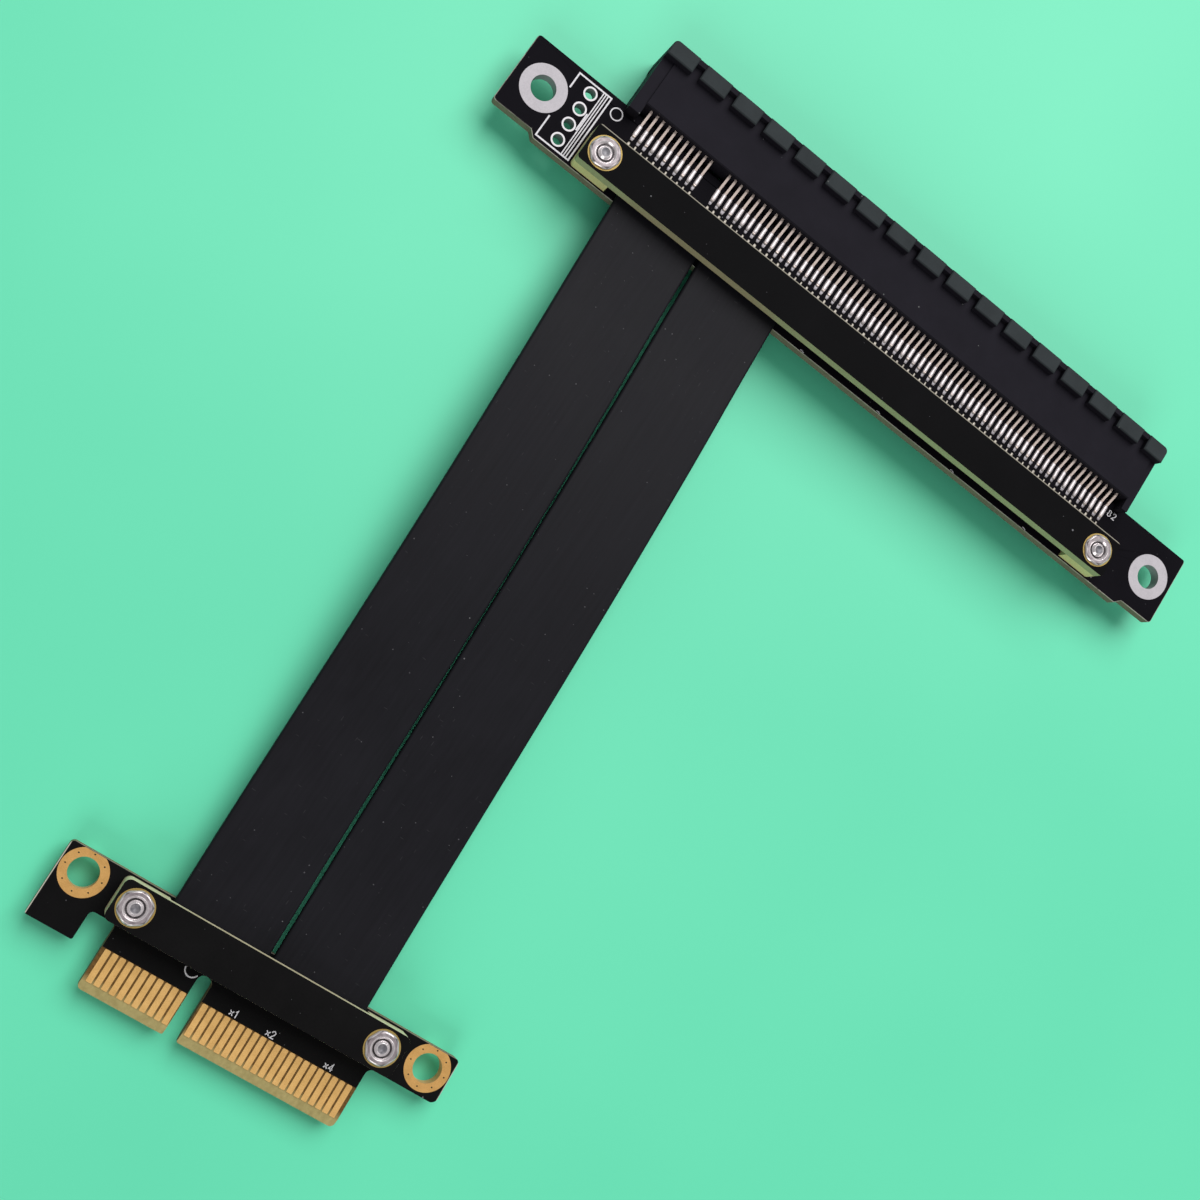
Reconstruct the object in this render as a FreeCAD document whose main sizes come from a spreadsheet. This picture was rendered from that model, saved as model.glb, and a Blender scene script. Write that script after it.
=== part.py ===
import FreeCAD, Part
import Sketcher
import math
import os

# Flat-ribbon extension cable for an expansion card.
# World frame: +Z up, the table at Z 0, +X along the slot board, +Y from the
# edge-connector board towards the slot board.  Millimetres.
#
# Two local frames are used for the boards, each with its own placement:
#   slot frame: u along the contact row (contact 1 at u 0), v towards the mouth,
#               z 0 on the board's upper face
#   edge frame: u along the finger row (finger 1 at u 0), v towards the ribbons,
#               z 0 on the board's upper face
# A third frame runs along each ribbon.

V = FreeCAD.Vector
doc = FreeCAD.newDocument("ExtensionCable")
sheet = doc.addObject("Spreadsheet::Sheet", "Dims")


class Q:
    """A number together with the sheet expression that gives it."""

    def __init__(self, value, text):
        self.value = float(value)
        self.text = text

    @staticmethod
    def of(other):
        return other if isinstance(other, Q) else Q(other, "%.6f" % other)

    def __add__(self, other):
        o = Q.of(other)
        return Q(self.value + o.value, "(%s + %s)" % (self.text, o.text))

    def __sub__(self, other):
        o = Q.of(other)
        return Q(self.value - o.value, "(%s - %s)" % (self.text, o.text))

    def __mul__(self, other):
        o = Q.of(other)
        return Q(self.value * o.value, "(%s * %s)" % (self.text, o.text))

    def __radd__(self, other):
        return Q.of(other) + self

    def __rsub__(self, other):
        return Q.of(other) - self

    def __rmul__(self, other):
        return Q.of(other) * self

    def __neg__(self):
        return Q(-self.value, "(0 - %s)" % self.text)


ZERO = Q(0.0, "0")
row = 0


def dim(alias, value):
    """One driving dimension: a plain number in the sheet, with an alias."""
    global row
    row += 1
    sheet.set("A%d" % row, "'" + alias.replace("_", " "))
    sheet.set("B%d" % row, "%.6g" % value)
    sheet.setAlias("B%d" % row, alias)
    return Q(value, "Dims." + alias)


# ---------------------------------------------------------------- dimensions
# shared by both ends
board_thick = dim("board_thick", 1.6)
cover_thick = dim("cover_thick", 1.6)
spacer_high = dim("spacer_high", 1.9)
copper_thick = dim("copper_thick", 0.05)
plating_wall = dim("plating_wall", 0.1)
screw_hole_r = dim("screw_hole_r", 1.1)
shank_r = dim("shank_r", 0.98)
nut_hole_r = dim("nut_hole_r", 1.0)
nut_flats = dim("nut_flats", 4.05)
nut_round_r = dim("nut_round_r", 2.12)
nut_high = dim("nut_high", 0.35)
nut_chamfer = dim("nut_chamfer", 0.2)
nut_barrel_r = dim("nut_barrel_r", 1.45)
cover_hole_r = dim("cover_hole_r", 1.5)
nut_land_r = dim("nut_land_r", 2.28)
nut_sink_r = dim("nut_sink_r", 1.42)
nut_sink_deep = dim("nut_sink_deep", 0.42)
end_dish_r = dim("end_dish_r", 0.6)
end_dish_deep = dim("end_dish_deep", 0.12)
head_r = dim("head_r", 1.9)
screw_proud = dim("screw_proud", 0.05)
recess_wide = dim("recess_wide", 0.5)
recess_long = dim("recess_long", 2.0)
recess_deep = dim("recess_deep", 0.8)
contact_pitch = dim("contact_pitch", 1.0)

# slot end: place of its frame in the world
slot_x = dim("slot_x", -40.42)
slot_y = dim("slot_y", 64.53)
slot_z = dim("slot_z", 5.0)
# slot board
sb_left = dim("sb_left", -17.06)
sb_right = dim("sb_right", 97.9)
sb_rear = dim("sb_rear", -5.97)
sb_tab_front = dim("sb_tab_front", -16.7)
sb_front = dim("sb_front", -17.55)
sb_step_left = dim("sb_step_left", -10.2)
sb_step_right = dim("sb_step_right", 91.5)
sb_corner = dim("sb_corner", 0.5)
sb_mount_u = dim("sb_mount_u", -12.74)
sb_mount_span = dim("sb_mount_span", 106.8)
sb_mount_v = dim("sb_mount_v", -11.4)
sb_mount_r = dim("sb_mount_r", 1.7)
sb_land_r = dim("sb_land_r", 3.2)
header_u = dim("header_u", -7.57)
header_v = dim("header_v", -15.61)
header_pitch = dim("header_pitch", 2.54)
header_count = dim("header_count", 4)
header_r = dim("header_r", 0.72)
header_land_r = dim("header_land_r", 0.95)
# slot clamp stack
sc_left = dim("sc_left", -4.65)
sc_right = dim("sc_right", 86.15)
sc_front = dim("sc_front", -17.25)
sc_rear = dim("sc_rear", -11.75)
sc_corner = dim("sc_corner", 0.5)
sc_screw_u = dim("sc_screw_u", -2.0)
sc_screw_span = dim("sc_screw_span", 85.5)
sc_screw_v = dim("sc_screw_v", -14.6)
ss_long = dim("ss_long", 5.5)
slot_head_high = dim("slot_head_high", 1.4)
# housing; all heights are half heights about the board's mid-plane
hs_panel_left = dim("hs_panel_left", -1.2)
hs_panel_right = dim("hs_panel_right", 84.2)
hs_left = dim("hs_left", -2.85)
hs_right = dim("hs_right", 85.2)
hs_flange_over = dim("hs_flange_over", 0.05)
hs_mouth = dim("hs_mouth", 3.9)
hs_flange_rear = dim("hs_flange_rear", 1.6)
hs_rim = dim("hs_rim", 0.7)
hs_rim_drop = dim("hs_rim_drop", 0.3)
hs_rear = dim("hs_rear", -5.2)
hs_post_rear = dim("hs_post_rear", -6.8)
hs_panel_half = dim("hs_panel_half", 3.1)
hs_post_half = dim("hs_post_half", 2.8)
hs_flange_half = dim("hs_flange_half", 4.2)
groove_wide = dim("groove_wide", 1.25)
groove_first = dim("groove_first", 1.75)
groove_pitch = dim("groove_pitch", 5.3)
groove_count = dim("groove_count", 16)
card_slot_half = dim("card_slot_half", 0.95)
card_slot_deep = dim("card_slot_deep", 8.1)
card_slot_left = dim("card_slot_left", -1.25)
card_slot_right = dim("card_slot_right", 84.25)
key_left = dim("key_left", 10.65)
key_right = dim("key_right", 12.35)
lead_in = dim("lead_in", 0.45)
cell_wide = dim("cell_wide", 0.6)
cell_low = dim("cell_low", 0.8)
cell_high = dim("cell_high", 2.35)
cell_deep = dim("cell_deep", 8)
hs_edge = dim("hs_edge", 0.16)
# contacts
short_count = dim("short_count", 11)
slot_long_count = dim("slot_long_count", 71)
long_first = dim("long_first", 13.0)
strip_wide = dim("strip_wide", 0.36)
strip_thick = dim("strip_thick", 0.22)
tail_end = dim("tail_end", -8.85)
tail_knee = dim("tail_knee", -7)
tail_exit = dim("tail_exit", -5.3)
tail_high = dim("tail_high", 0.85)
spring_bend = dim("spring_bend", -2.5)
spring_touch = dim("spring_touch", 0.7)
spring_low = dim("spring_low", -0.12)
spring_tip = dim("spring_tip", 2.6)
spring_tip_z = dim("spring_tip_z", 0.75)

# edge end: place of its frame in the slot frame, and its turn
edge_u = dim("edge_u", 4.414)
edge_v = dim("edge_v", -121.508)
edge_drop = dim("edge_drop", 1.9)
edge_turn = dim("edge_turn", 2.393)
# edge board
eb_left = dim("eb_left", -10.35)
eb_right = dim("eb_right", 43.36)
eb_rear = dim("eb_rear", 2.7)
eb_ear_front = dim("eb_ear_front", -3.3)
eb_gap_rear = dim("eb_gap_rear", -3.2)
eb_leg_right = dim("eb_leg_right", -4.2)
eb_leg_front = dim("eb_leg_front", -7.05)
tongue_left = dim("tongue_left", -0.85)
tongue_right = dim("tongue_right", 33.85)
tongue_end = dim("tongue_end", -11.45)
tongue_bevel = dim("tongue_bevel", -10.3)
tongue_bevel_deep = dim("tongue_bevel_deep", 0.45)
notch_left = dim("notch_left", 10.5)
notch_right = dim("notch_right", 12.4)
eb_mount_u = dim("eb_mount_u", -7.22)
eb_mount_span = dim("eb_mount_span", 47.46)
eb_mount_v = dim("eb_mount_v", 0.02)
eb_mount_r = dim("eb_mount_r", 1.84)
eb_land_r = dim("eb_land_r", 2.93)
eb_land_margin = dim("eb_land_margin", 0.08)
finger_wide = dim("finger_wide", 0.74)
finger_rear = dim("finger_rear", -6.08)
finger_end = dim("finger_end", -10.28)
edge_long_count = dim("edge_long_count", 21)
# edge clamp stack
ec_left = dim("ec_left", -2.95)
ec_right = dim("ec_right", 35.85)
ec_front = dim("ec_front", -2.9)
ec_rear = dim("ec_rear", 2.4)
ec_corner = dim("ec_corner", 0.8)
ec_screw_u = dim("ec_screw_u", -0.35)
ec_screw_span = dim("ec_screw_span", 33.45)
ec_screw_v = dim("ec_screw_v", -0.2)
es_long = dim("es_long", 5.7)
edge_head_high = dim("edge_head_high", 1.5)

# ribbons
ribbon_wide = dim("ribbon_wide", 12.95)
ribbon_thick = dim("ribbon_thick", 1.1)
ribbon_edge_u = dim("ribbon_edge_u", 9.75)
ribbon_slot_u = dim("ribbon_slot_u", 8.8)
ribbon_pitch = dim("ribbon_pitch", 13.5)
ribbon_edge_v = dim("ribbon_edge_v", -1.2)
ribbon_slot_v = dim("ribbon_slot_v", -13.5)
wire_wide = dim("wire_wide", 0.3)
wire_thick = dim("wire_thick", 0.2)
wire_long = dim("wire_long", 1.25)
wire_pitch = dim("wire_pitch", 0.62)
wire_count = dim("wire_count", 20)

doc.recompute()

mid = -0.5 * board_thick
cover_top = spacer_high + cover_thick
nut_base = cover_top + copper_thick
nut_top = nut_base + nut_high
screw_top = nut_top + screw_proud

subparts = []


# ------------------------------------------------------------------- helpers
def set_expr(obj, prop, q):
    obj.setExpression(prop, Q.of(q).text)


def new_body(label, frame, exported=True):
    b = doc.addObject("PartDesign::Body", label)
    b.Label = label
    b.AllowCompound = True
    if exported:
        subparts.append(b)
    b_frames[label] = frame
    return b


b_frames = {}


def origin_feature(body, role):
    return [f for f in body.Origin.OriginFeatures if f.Role == role][0]


def new_sketch(body, name, role, shift=(ZERO, ZERO, ZERO)):
    """Sketch on an origin plane, moved by shift in the sketch's own axes.
    XY_Plane: x, y are u, v.  XZ_Plane: x, y are u, z and the normal is -v.
    YZ_Plane: x, y are v, z and the normal is +u."""
    sk = body.newObject("Sketcher::SketchObject", body.Label + "_" + name)
    sk.AttachmentSupport = [(origin_feature(body, role), "")]
    sk.MapMode = "FlatFace"
    for axis, q in zip("xyz", shift):
        set_expr(sk, "AttachmentOffset.Base." + axis, q)
    return sk


def pin_point(sk, geo, pos, x, y):
    for kind, q in (("DistanceX", Q.of(x)), ("DistanceY", Q.of(y))):
        i = sk.addConstraint(Sketcher.Constraint(kind, -1, 1, geo, pos, q.value))
        sk.setExpression("Constraints[%d]" % i, q.text)


def polygon(sk, pts):
    pts = [(Q.of(x), Q.of(y)) for x, y in pts]
    n = len(pts)
    first = sk.GeometryCount
    for i in range(n):
        a, b = pts[i], pts[(i + 1) % n]
        sk.addGeometry(Part.LineSegment(V(a[0].value, a[1].value, 0), V(b[0].value, b[1].value, 0)), False)
    for i in range(n):
        sk.addConstraint(Sketcher.Constraint("Coincident", first + i, 2, first + (i + 1) % n, 1))
    for i in range(n):
        pin_point(sk, first + i, 1, pts[i][0], pts[i][1])


def rectangle(sk, x0, x1, y0, y1):
    polygon(sk, [(x0, y0), (x1, y0), (x1, y1), (x0, y1)])


def circle(sk, x, y, r):
    x, y, r = Q.of(x), Q.of(y), Q.of(r)
    g = sk.addGeometry(Part.Circle(V(x.value, y.value, 0), V(0, 0, 1), r.value), False)
    pin_point(sk, g, 3, x, y)
    i = sk.addConstraint(Sketcher.Constraint("Radius", g, r.value))
    sk.setExpression("Constraints[%d]" % i, r.text)


def feature(body, kind, name, sk, **settings):
    f = body.newObject("PartDesign::" + kind, body.Label + "_" + name)
    f.Profile = sk
    for k, val in settings.items():
        if isinstance(val, Q):
            set_expr(f, k, val)
        else:
            setattr(f, k, val)
    body.Tip = f
    return f


def pad(body, name, sk, length, down=False):
    return feature(body, "Pad", name, sk, Length=Q.of(length), Reversed=down)


def pocket(body, name, sk, length=None, flip=False):
    """Cut against the sketch's normal, or along it where flip is set."""
    doc.recompute()
    before = body.Tip.Shape.Volume
    if length is None:
        f = feature(body, "Pocket", name, sk, Type=1, Reversed=flip)
    else:
        f = feature(body, "Pocket", name, sk, Length=Q.of(length), Reversed=flip)
    doc.recompute()
    if f.Shape.Volume > before - 1e-6:
        raise RuntimeError("%s cuts nothing" % f.Label)
    return f


def revolve(body, name, sk, cut=False):
    kind = "Groove" if cut else "Revolution"
    before = None
    if cut:
        doc.recompute()
        before = body.Tip.Shape.Volume
    f = body.newObject("PartDesign::" + kind, body.Label + "_" + name)
    f.Profile = sk
    f.ReferenceAxis = (sk, ["V_Axis"])
    f.Angle = 360.0
    body.Tip = f
    doc.recompute()
    if cut and f.Shape.Volume > before - 1e-6:
        raise RuntimeError("%s cuts nothing" % f.Label)
    return f


def pattern(body, name, originals, axis, length, count):
    lp = body.newObject("PartDesign::LinearPattern", body.Label + "_" + name)
    lp.Originals = originals
    lp.Direction = (origin_feature(body, axis), [""])
    set_expr(lp, "Length", Q.of(length))
    set_expr(lp, "Occurrences", Q.of(count))
    body.Tip = lp
    doc.recompute()
    return lp


def round_uprights(body, name, corners, radius):
    """Fillet the vertical edges that stand at the given plan points."""
    doc.recompute()
    base = body.Tip
    names = []
    for i, e in enumerate(base.Shape.Edges, 1):
        a, b = e.Vertexes[0].Point, e.Vertexes[-1].Point
        if abs(a.x - b.x) < 1e-6 and abs(a.y - b.y) < 1e-6 and abs(a.z - b.z) > 0.2:
            for x, y in corners:
                if abs(a.x - Q.of(x).value) < 1e-4 and abs(a.y - Q.of(y).value) < 1e-4:
                    names.append("Edge%d" % i)
    if len(names) < len(corners):
        raise RuntimeError("%s: %d of %d corners found" % (name, len(names), len(corners)))
    f = body.newObject("PartDesign::Fillet", body.Label + "_" + name)
    f.Base = (base, names)
    set_expr(f, "Radius", Q.of(radius))
    body.Tip = f
    doc.recompute()
    return f


def edges_where(shape, test):
    out = []
    for i, e in enumerate(shape.Edges, 1):
        if test(e):
            out.append("Edge%d" % i)
    return out


def chamfer_edges(body, name, names, size):
    base = body.Tip
    f = body.newObject("PartDesign::Chamfer", body.Label + "_" + name)
    f.Base = (base, names)
    set_expr(f, "Size", Q.of(size))
    body.Tip = f
    doc.recompute()
    return f


# ---------------------------------------------------------------- slot board
b = new_body("slot_board", "slot")
sk = new_sketch(b, "outline", "XY_Plane")
step = 0.85
polygon(sk, [
    (sb_left, sb_rear), (sb_left, sb_tab_front), (sb_step_left - step, sb_tab_front), (sb_step_left, sb_front),
    (sb_step_right, sb_front), (sb_step_right + step, sb_tab_front), (sb_right, sb_tab_front), (sb_right, sb_rear)])
pad(b, "plate", sk, board_thick, down=True)
sk = new_sketch(b, "holes", "XY_Plane")
circle(sk, sb_mount_u, sb_mount_v, sb_mount_r + plating_wall)
circle(sk, sb_mount_u + sb_mount_span, sb_mount_v, sb_mount_r + plating_wall)
for k in range(4):
    circle(sk, header_u, header_v + k * header_pitch, header_r + plating_wall)
circle(sk, sc_screw_u, sc_screw_v, screw_hole_r)
circle(sk, sc_screw_u + sc_screw_span, sc_screw_v, screw_hole_r)
pocket(b, "holes_cut", sk)
round_uprights(b, "corners", [(sb_left, sb_rear), (sb_left, sb_tab_front), (sb_right, sb_rear), (sb_right, sb_tab_front)],
               sb_corner)

# ------------------------------------------------------------------- housing
# A moulded bar: raised panel, lower end posts that straddle the board's edge,
# and a flange at the mouth cut into blocks by grooves on both faces.  The
# moulding is drawn whole, then parted at the card slot's faces into an upper
# half, a lower half and the middle that joins them.
b = new_body("housing_whole", "slot", exported=False)
sk = new_sketch(b, "panel", "XY_Plane", (ZERO, ZERO, mid - hs_panel_half))
rectangle(sk, hs_panel_left, hs_panel_right, hs_rear, hs_mouth)
pad(b, "panel_pad", sk, 2 * hs_panel_half)
sk = new_sketch(b, "posts", "XY_Plane", (ZERO, ZERO, mid - hs_post_half))
rectangle(sk, hs_left, hs_panel_left, hs_post_rear, hs_mouth)
rectangle(sk, hs_panel_right, hs_right, hs_post_rear, hs_mouth)
pad(b, "posts_pad", sk, 2 * hs_post_half)
sk = new_sketch(b, "flange", "XY_Plane", (ZERO, ZERO, mid - hs_flange_half))
rectangle(sk, hs_left - hs_flange_over, hs_right + hs_flange_over, hs_flange_rear, hs_mouth)
pad(b, "flange_pad", sk, 2 * hs_flange_half)
round_uprights(b, "flange_corners", [(hs_left - hs_flange_over, hs_mouth), (hs_right + hs_flange_over, hs_mouth)], 0.7)
# each groove is deep behind a rim along the mouth, and shallow across the rim
groove_left, groove_right = groove_first - 0.5 * groove_wide, groove_first + 0.5 * groove_wide
for face, level, under in (("top", mid + hs_flange_half, False), ("under", mid - hs_flange_half, True)):
    sk = new_sketch(b, "groove_" + face, "XY_Plane", (ZERO, ZERO, level))
    rectangle(sk, groove_left, groove_right, hs_flange_rear, hs_mouth - hs_rim)
    g1 = pocket(b, "groove_%s_cut" % face, sk, hs_flange_half - hs_panel_half, flip=under)
    sk = new_sketch(b, "rim_" + face, "XY_Plane", (ZERO, ZERO, level))
    rectangle(sk, groove_left, groove_right, hs_mouth - hs_rim, hs_mouth + 0.5)
    g2 = pocket(b, "rim_%s_cut" % face, sk, hs_rim_drop, flip=under)
    pattern(b, "grooves_" + face, [g1, g2], "X_Axis", groove_pitch * (groove_count - 1), groove_count)
# recess in the posts for the board's edge
sk = new_sketch(b, "board_seat", "XZ_Plane", (ZERO, ZERO, -hs_post_rear))
rectangle(sk, hs_left - 0.5, hs_right + 0.5, -board_thick, ZERO)
pocket(b, "board_seat_cut", sk, sb_rear - hs_post_rear)
# soften the raised blocks and the panel's rear edges
zt = (mid + hs_flange_half).value
zb = (mid - hs_flange_half).value
pt = (mid + hs_panel_half).value
pb = (mid - hs_panel_half).value


def is_block_edge(e):
    bb = e.BoundBox
    flat = bb.ZMax - bb.ZMin < 1e-6
    on_block = abs(bb.ZMax - zt) < 1e-6 or abs(bb.ZMax - zb) < 1e-6
    on_panel_rear = (abs(bb.ZMax - pt) < 1e-6 or abs(bb.ZMax - pb) < 1e-6) and bb.YMax < hs_rear.value + 1e-6 \
        and bb.XMax - bb.XMin > 10
    return flat and (on_block or on_panel_rear)


chamfer_edges(b, "softened", edges_where(b.Tip.Shape, is_block_edge), hs_edge)
# card slot, in two lengths either side of the key rib, with a lead-in at the mouth
sk = new_sketch(b, "card_slot", "XZ_Plane", (ZERO, ZERO, -hs_mouth))
rectangle(sk, card_slot_left, key_left, mid - card_slot_half, mid + card_slot_half)
rectangle(sk, key_right, card_slot_right, mid - card_slot_half, mid + card_slot_half)
pocket(b, "card_slot_cut", sk, card_slot_deep, flip=True)
ym = hs_mouth.value
zc = (mid + card_slot_half).value, (mid - card_slot_half).value


def is_mouth_edge(e):
    bb = e.BoundBox
    return abs(bb.YMin - ym) < 1e-6 and abs(bb.YMax - ym) < 1e-6 and bb.ZMax - bb.ZMin < 1e-6 \
        and min(abs(bb.ZMax - z) for z in zc) < 1e-6 and bb.XMax - bb.XMin > 5


chamfer_edges(b, "mouth_lead_in", edges_where(b.Tip.Shape, is_mouth_edge), lead_in)
# contact cells, open to the rear and to the card slot
for name, at, count in (("cells_short", ZERO, short_count), ("cells_long", long_first, slot_long_count)):
    sk = new_sketch(b, name, "XZ_Plane", (ZERO, ZERO, -hs_rear))
    rectangle(sk, at - 0.5 * cell_wide, at + 0.5 * cell_wide, mid + cell_low, mid + cell_high)
    rectangle(sk, at - 0.5 * cell_wide, at + 0.5 * cell_wide, mid - cell_high, mid - cell_low)
    c = pocket(b, name + "_cut", sk, cell_deep)
    pattern(b, name + "_row", [c], "X_Axis", contact_pitch * (count - 1), count)

whole = b
whole.setExpression("Placement.Base.x", slot_x.text)
whole.setExpression("Placement.Base.y", slot_y.text)
whole.setExpression("Placement.Base.z", slot_z.text)
doc.recompute()


def part_of_housing(name, v0, v1, z0, z1):
    """The share of the moulding between two v and two z values."""
    u0, u1 = hs_left - hs_flange_over - 1, hs_right + hs_flange_over + 1
    box = doc.addObject("Part::Box", name + "_box")
    for prop, q in (("Length", u1 - u0), ("Width", v1 - v0), ("Height", z1 - z0), ("Placement.Base.x", slot_x + u0),
                    ("Placement.Base.y", slot_y + v0), ("Placement.Base.z", slot_z + z0)):
        set_expr(box, prop, q)
    cut = doc.addObject("Part::Common", name)
    cut.Base = whole
    cut.Tool = box
    doc.recompute()
    return cut


behind, before_mouth = hs_post_rear - 1, hs_mouth + 1
over, below = mid + hs_flange_half + 1, mid - hs_flange_half - 1
slot_top, slot_bottom = mid + card_slot_half, mid - card_slot_half
slot_floor = hs_mouth - card_slot_deep
upper = part_of_housing("slot_housing_upper", behind, before_mouth, slot_top, over)
lower = part_of_housing("slot_housing_lower", behind, before_mouth, below, slot_bottom)
floor_bar = part_of_housing("housing_floor", behind, slot_floor, slot_bottom, slot_top)
ends = part_of_housing("housing_ends", slot_floor, before_mouth, slot_bottom, slot_top)
core = doc.addObject("Part::Compound", "slot_housing_core")
core.Links = [floor_bar, ends]
doc.recompute()
for o in (upper, lower, core):
    o.Label = o.Name
    subparts.append(o)
    b_frames[o.Label] = "set"
shares = sum(o.Shape.Volume for o in (upper, lower, core))
if abs(shares - whole.Shape.Volume) > 1e-3:
    raise RuntimeError("the housing's shares add up to %.3f, not %.3f" % (shares, whole.Shape.Volume))

# ------------------------------------------------------------------ contacts
# Bent strips: a soldered tail on the board, a rise into the housing's rear,
# and a bowed spring that stands into the card slot.
chain = [
    (tail_end, ZERO), (tail_knee, ZERO), (tail_exit, tail_high), (spring_bend, tail_high),
    (spring_touch, spring_low), (spring_touch + 0.8, spring_low), (spring_tip, spring_tip_z),
    (spring_tip - 0.05, spring_tip_z + 0.26), (spring_touch + 0.72, spring_low + strip_thick),
    (spring_touch + 0.1, spring_low + strip_thick), (spring_bend + 0.1, tail_high + strip_thick),
    (tail_exit - 0.08, tail_high + strip_thick), (tail_knee - 0.08, strip_thick), (tail_end, strip_thick)]
for label, flip in (("slot_contacts_upper", False), ("slot_contacts_lower", True)):
    b = new_body(label, "slot")
    pts = [(y, (-board_thick) - z) if flip else (y, z) for y, z in chain]
    for name, at, count in (("short", ZERO, short_count), ("long", long_first, slot_long_count)):
        sk = new_sketch(b, name, "YZ_Plane", (ZERO, ZERO, at - 0.5 * strip_wide))
        polygon(sk, pts)
        p = pad(b, name + "_strip", sk, strip_wide)
        doc.recompute()
        pattern(b, name + "_row", [p], "X_Axis", contact_pitch * (count - 1), count)


# ------------------------------------------------- through-plated rings, lands
def plated_ring(body, name, u, v, r, land):
    sk = new_sketch(body, name, "XZ_Plane", (u, ZERO, -v))
    wall = r + plating_wall
    polygon(sk, [
        (r, copper_thick), (land, copper_thick), (land, ZERO), (wall, ZERO),
        (wall, -board_thick), (land, -board_thick), (land, (-board_thick) - copper_thick), (r, (-board_thick) - copper_thick)])
    return revolve(body, name + "_turn", sk)


b = new_body("slot_mount_rings", "slot")
r1 = plated_ring(b, "ring", sb_mount_u, sb_mount_v, sb_mount_r, sb_land_r)
pattern(b, "pair", [r1], "X_Axis", sb_mount_span, 2)

b = new_body("slot_header_eyelets", "slot")
r1 = plated_ring(b, "eyelet", header_u, header_v, header_r, header_land_r)
pattern(b, "row", [r1], "Y_Axis", header_pitch * (header_count - 1), header_count)


# -------------------------------------------------------------- clamp stacks
def cover_strip(label, frame, left, right, front, rear, corner, su, span, sv):
    b = new_body(label, frame)
    sk = new_sketch(b, "outline", "XY_Plane", (ZERO, ZERO, spacer_high))
    rectangle(sk, left, right, front, rear)
    pad(b, "strip", sk, cover_thick)
    sk = new_sketch(b, "holes", "XY_Plane", (ZERO, ZERO, cover_top))
    circle(sk, su, sv, cover_hole_r)
    circle(sk, su + span, sv, cover_hole_r)
    pocket(b, "holes_cut", sk)
    round_uprights(b, "corners", [(left, front), (left, rear), (right, front), (right, rear)], corner)


def spacer(label, frame, left, right, front, rear, corners, corner, su, sv):
    b = new_body(label, frame)
    sk = new_sketch(b, "outline", "XY_Plane")
    rectangle(sk, left, right, front, rear)
    pad(b, "block", sk, spacer_high)
    sk = new_sketch(b, "hole", "XY_Plane", (ZERO, ZERO, spacer_high))
    circle(sk, su, sv, screw_hole_r)
    pocket(b, "hole_cut", sk)
    round_uprights(b, "corners", corners, corner)


def nut_pair(label, frame, su, span, sv, turns):
    """Two press-in nuts, each a low hexagon head with rounded corners on a
    barrel that fills the cover's hole; turns gives each one's first corner."""
    b = new_body(label, frame)
    centres = [su, su + span]
    sk = new_sketch(b, "hexagon", "XY_Plane", (ZERO, ZERO, nut_base))
    for at, turn_deg in zip(centres, turns):
        pts = []
        for k in range(6):
            a = math.radians(60 * k + turn_deg)
            pts.append((at + nut_flats * (math.cos(a) / math.sqrt(3)), sv + nut_flats * (math.sin(a) / math.sqrt(3))))
        polygon(sk, pts)
    pad(b, "prism", sk, nut_high)
    sk = new_sketch(b, "barrel", "XY_Plane", (ZERO, ZERO, nut_base))
    for at in centres:
        circle(sk, at, sv, nut_barrel_r)
    pad(b, "barrel_pad", sk, nut_base - spacer_high, down=True)
    sk = new_sketch(b, "bore", "XY_Plane", (ZERO, ZERO, nut_top))
    for at in centres:
        circle(sk, at, sv, nut_hole_r)
    pocket(b, "bore_cut", sk)
    # a turned bevel on the corners, and a countersink at the top
    out = 0.5 * nut_flats - 0.16
    far = 0.5 * nut_flats + 0.6
    for name, at in zip(("left", "right"), centres):
        sk = new_sketch(b, "bevel_" + name, "XZ_Plane", (at, ZERO, -sv))
        polygon(sk, [(out, nut_top), (nut_round_r, nut_top - nut_chamfer), (nut_round_r, nut_base - 0.1), (far, nut_base - 0.1),
                     (far, nut_top + 0.2), (out, nut_top + 0.2)])
        polygon(sk, [(nut_hole_r - 0.05, nut_top - nut_sink_deep), (nut_hole_r, nut_top - nut_sink_deep),
                     (nut_sink_r, nut_top), (nut_sink_r, nut_top + 0.2), (nut_hole_r - 0.05, nut_top + 0.2)])
        revolve(b, "bevel_%s_turn" % name, sk, cut=True)


def screw_pair(label, frame, su, span, sv, head_high):
    b = new_body(label, frame)
    under = -board_thick
    base = under - head_high
    sk = new_sketch(b, "profile", "XZ_Plane", (su, ZERO, -sv))
    polygon(sk, [
        (ZERO, screw_top - end_dish_deep), (end_dish_r, screw_top), (end_dish_r + 0.06, screw_top),
        (shank_r, screw_top - 0.3), (shank_r, under),
        (head_r, under), (head_r, under - 0.55 * head_high), (head_r - 0.1, under - 0.78 * head_high),
        (head_r - 0.32, under - 0.94 * head_high), (head_r - 0.6, base), (ZERO, base)])
    f1 = revolve(b, "turn", sk)
    sk = new_sketch(b, "recess", "XY_Plane", (ZERO, ZERO, base))
    w = 0.5 * recess_wide
    n = 0.5 * recess_long
    polygon(sk, [
        (su - n, sv - w), (su - w, sv - w), (su - w, sv - n), (su + w, sv - n), (su + w, sv - w), (su + n, sv - w),
        (su + n, sv + w), (su + w, sv + w), (su + w, sv + n), (su - w, sv + n), (su - w, sv + w), (su - n, sv + w)])
    f2 = pocket(b, "recess_cut", sk, recess_deep, flip=True)
    pattern(b, "pair", [f1, f2], "X_Axis", span, 2)


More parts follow.
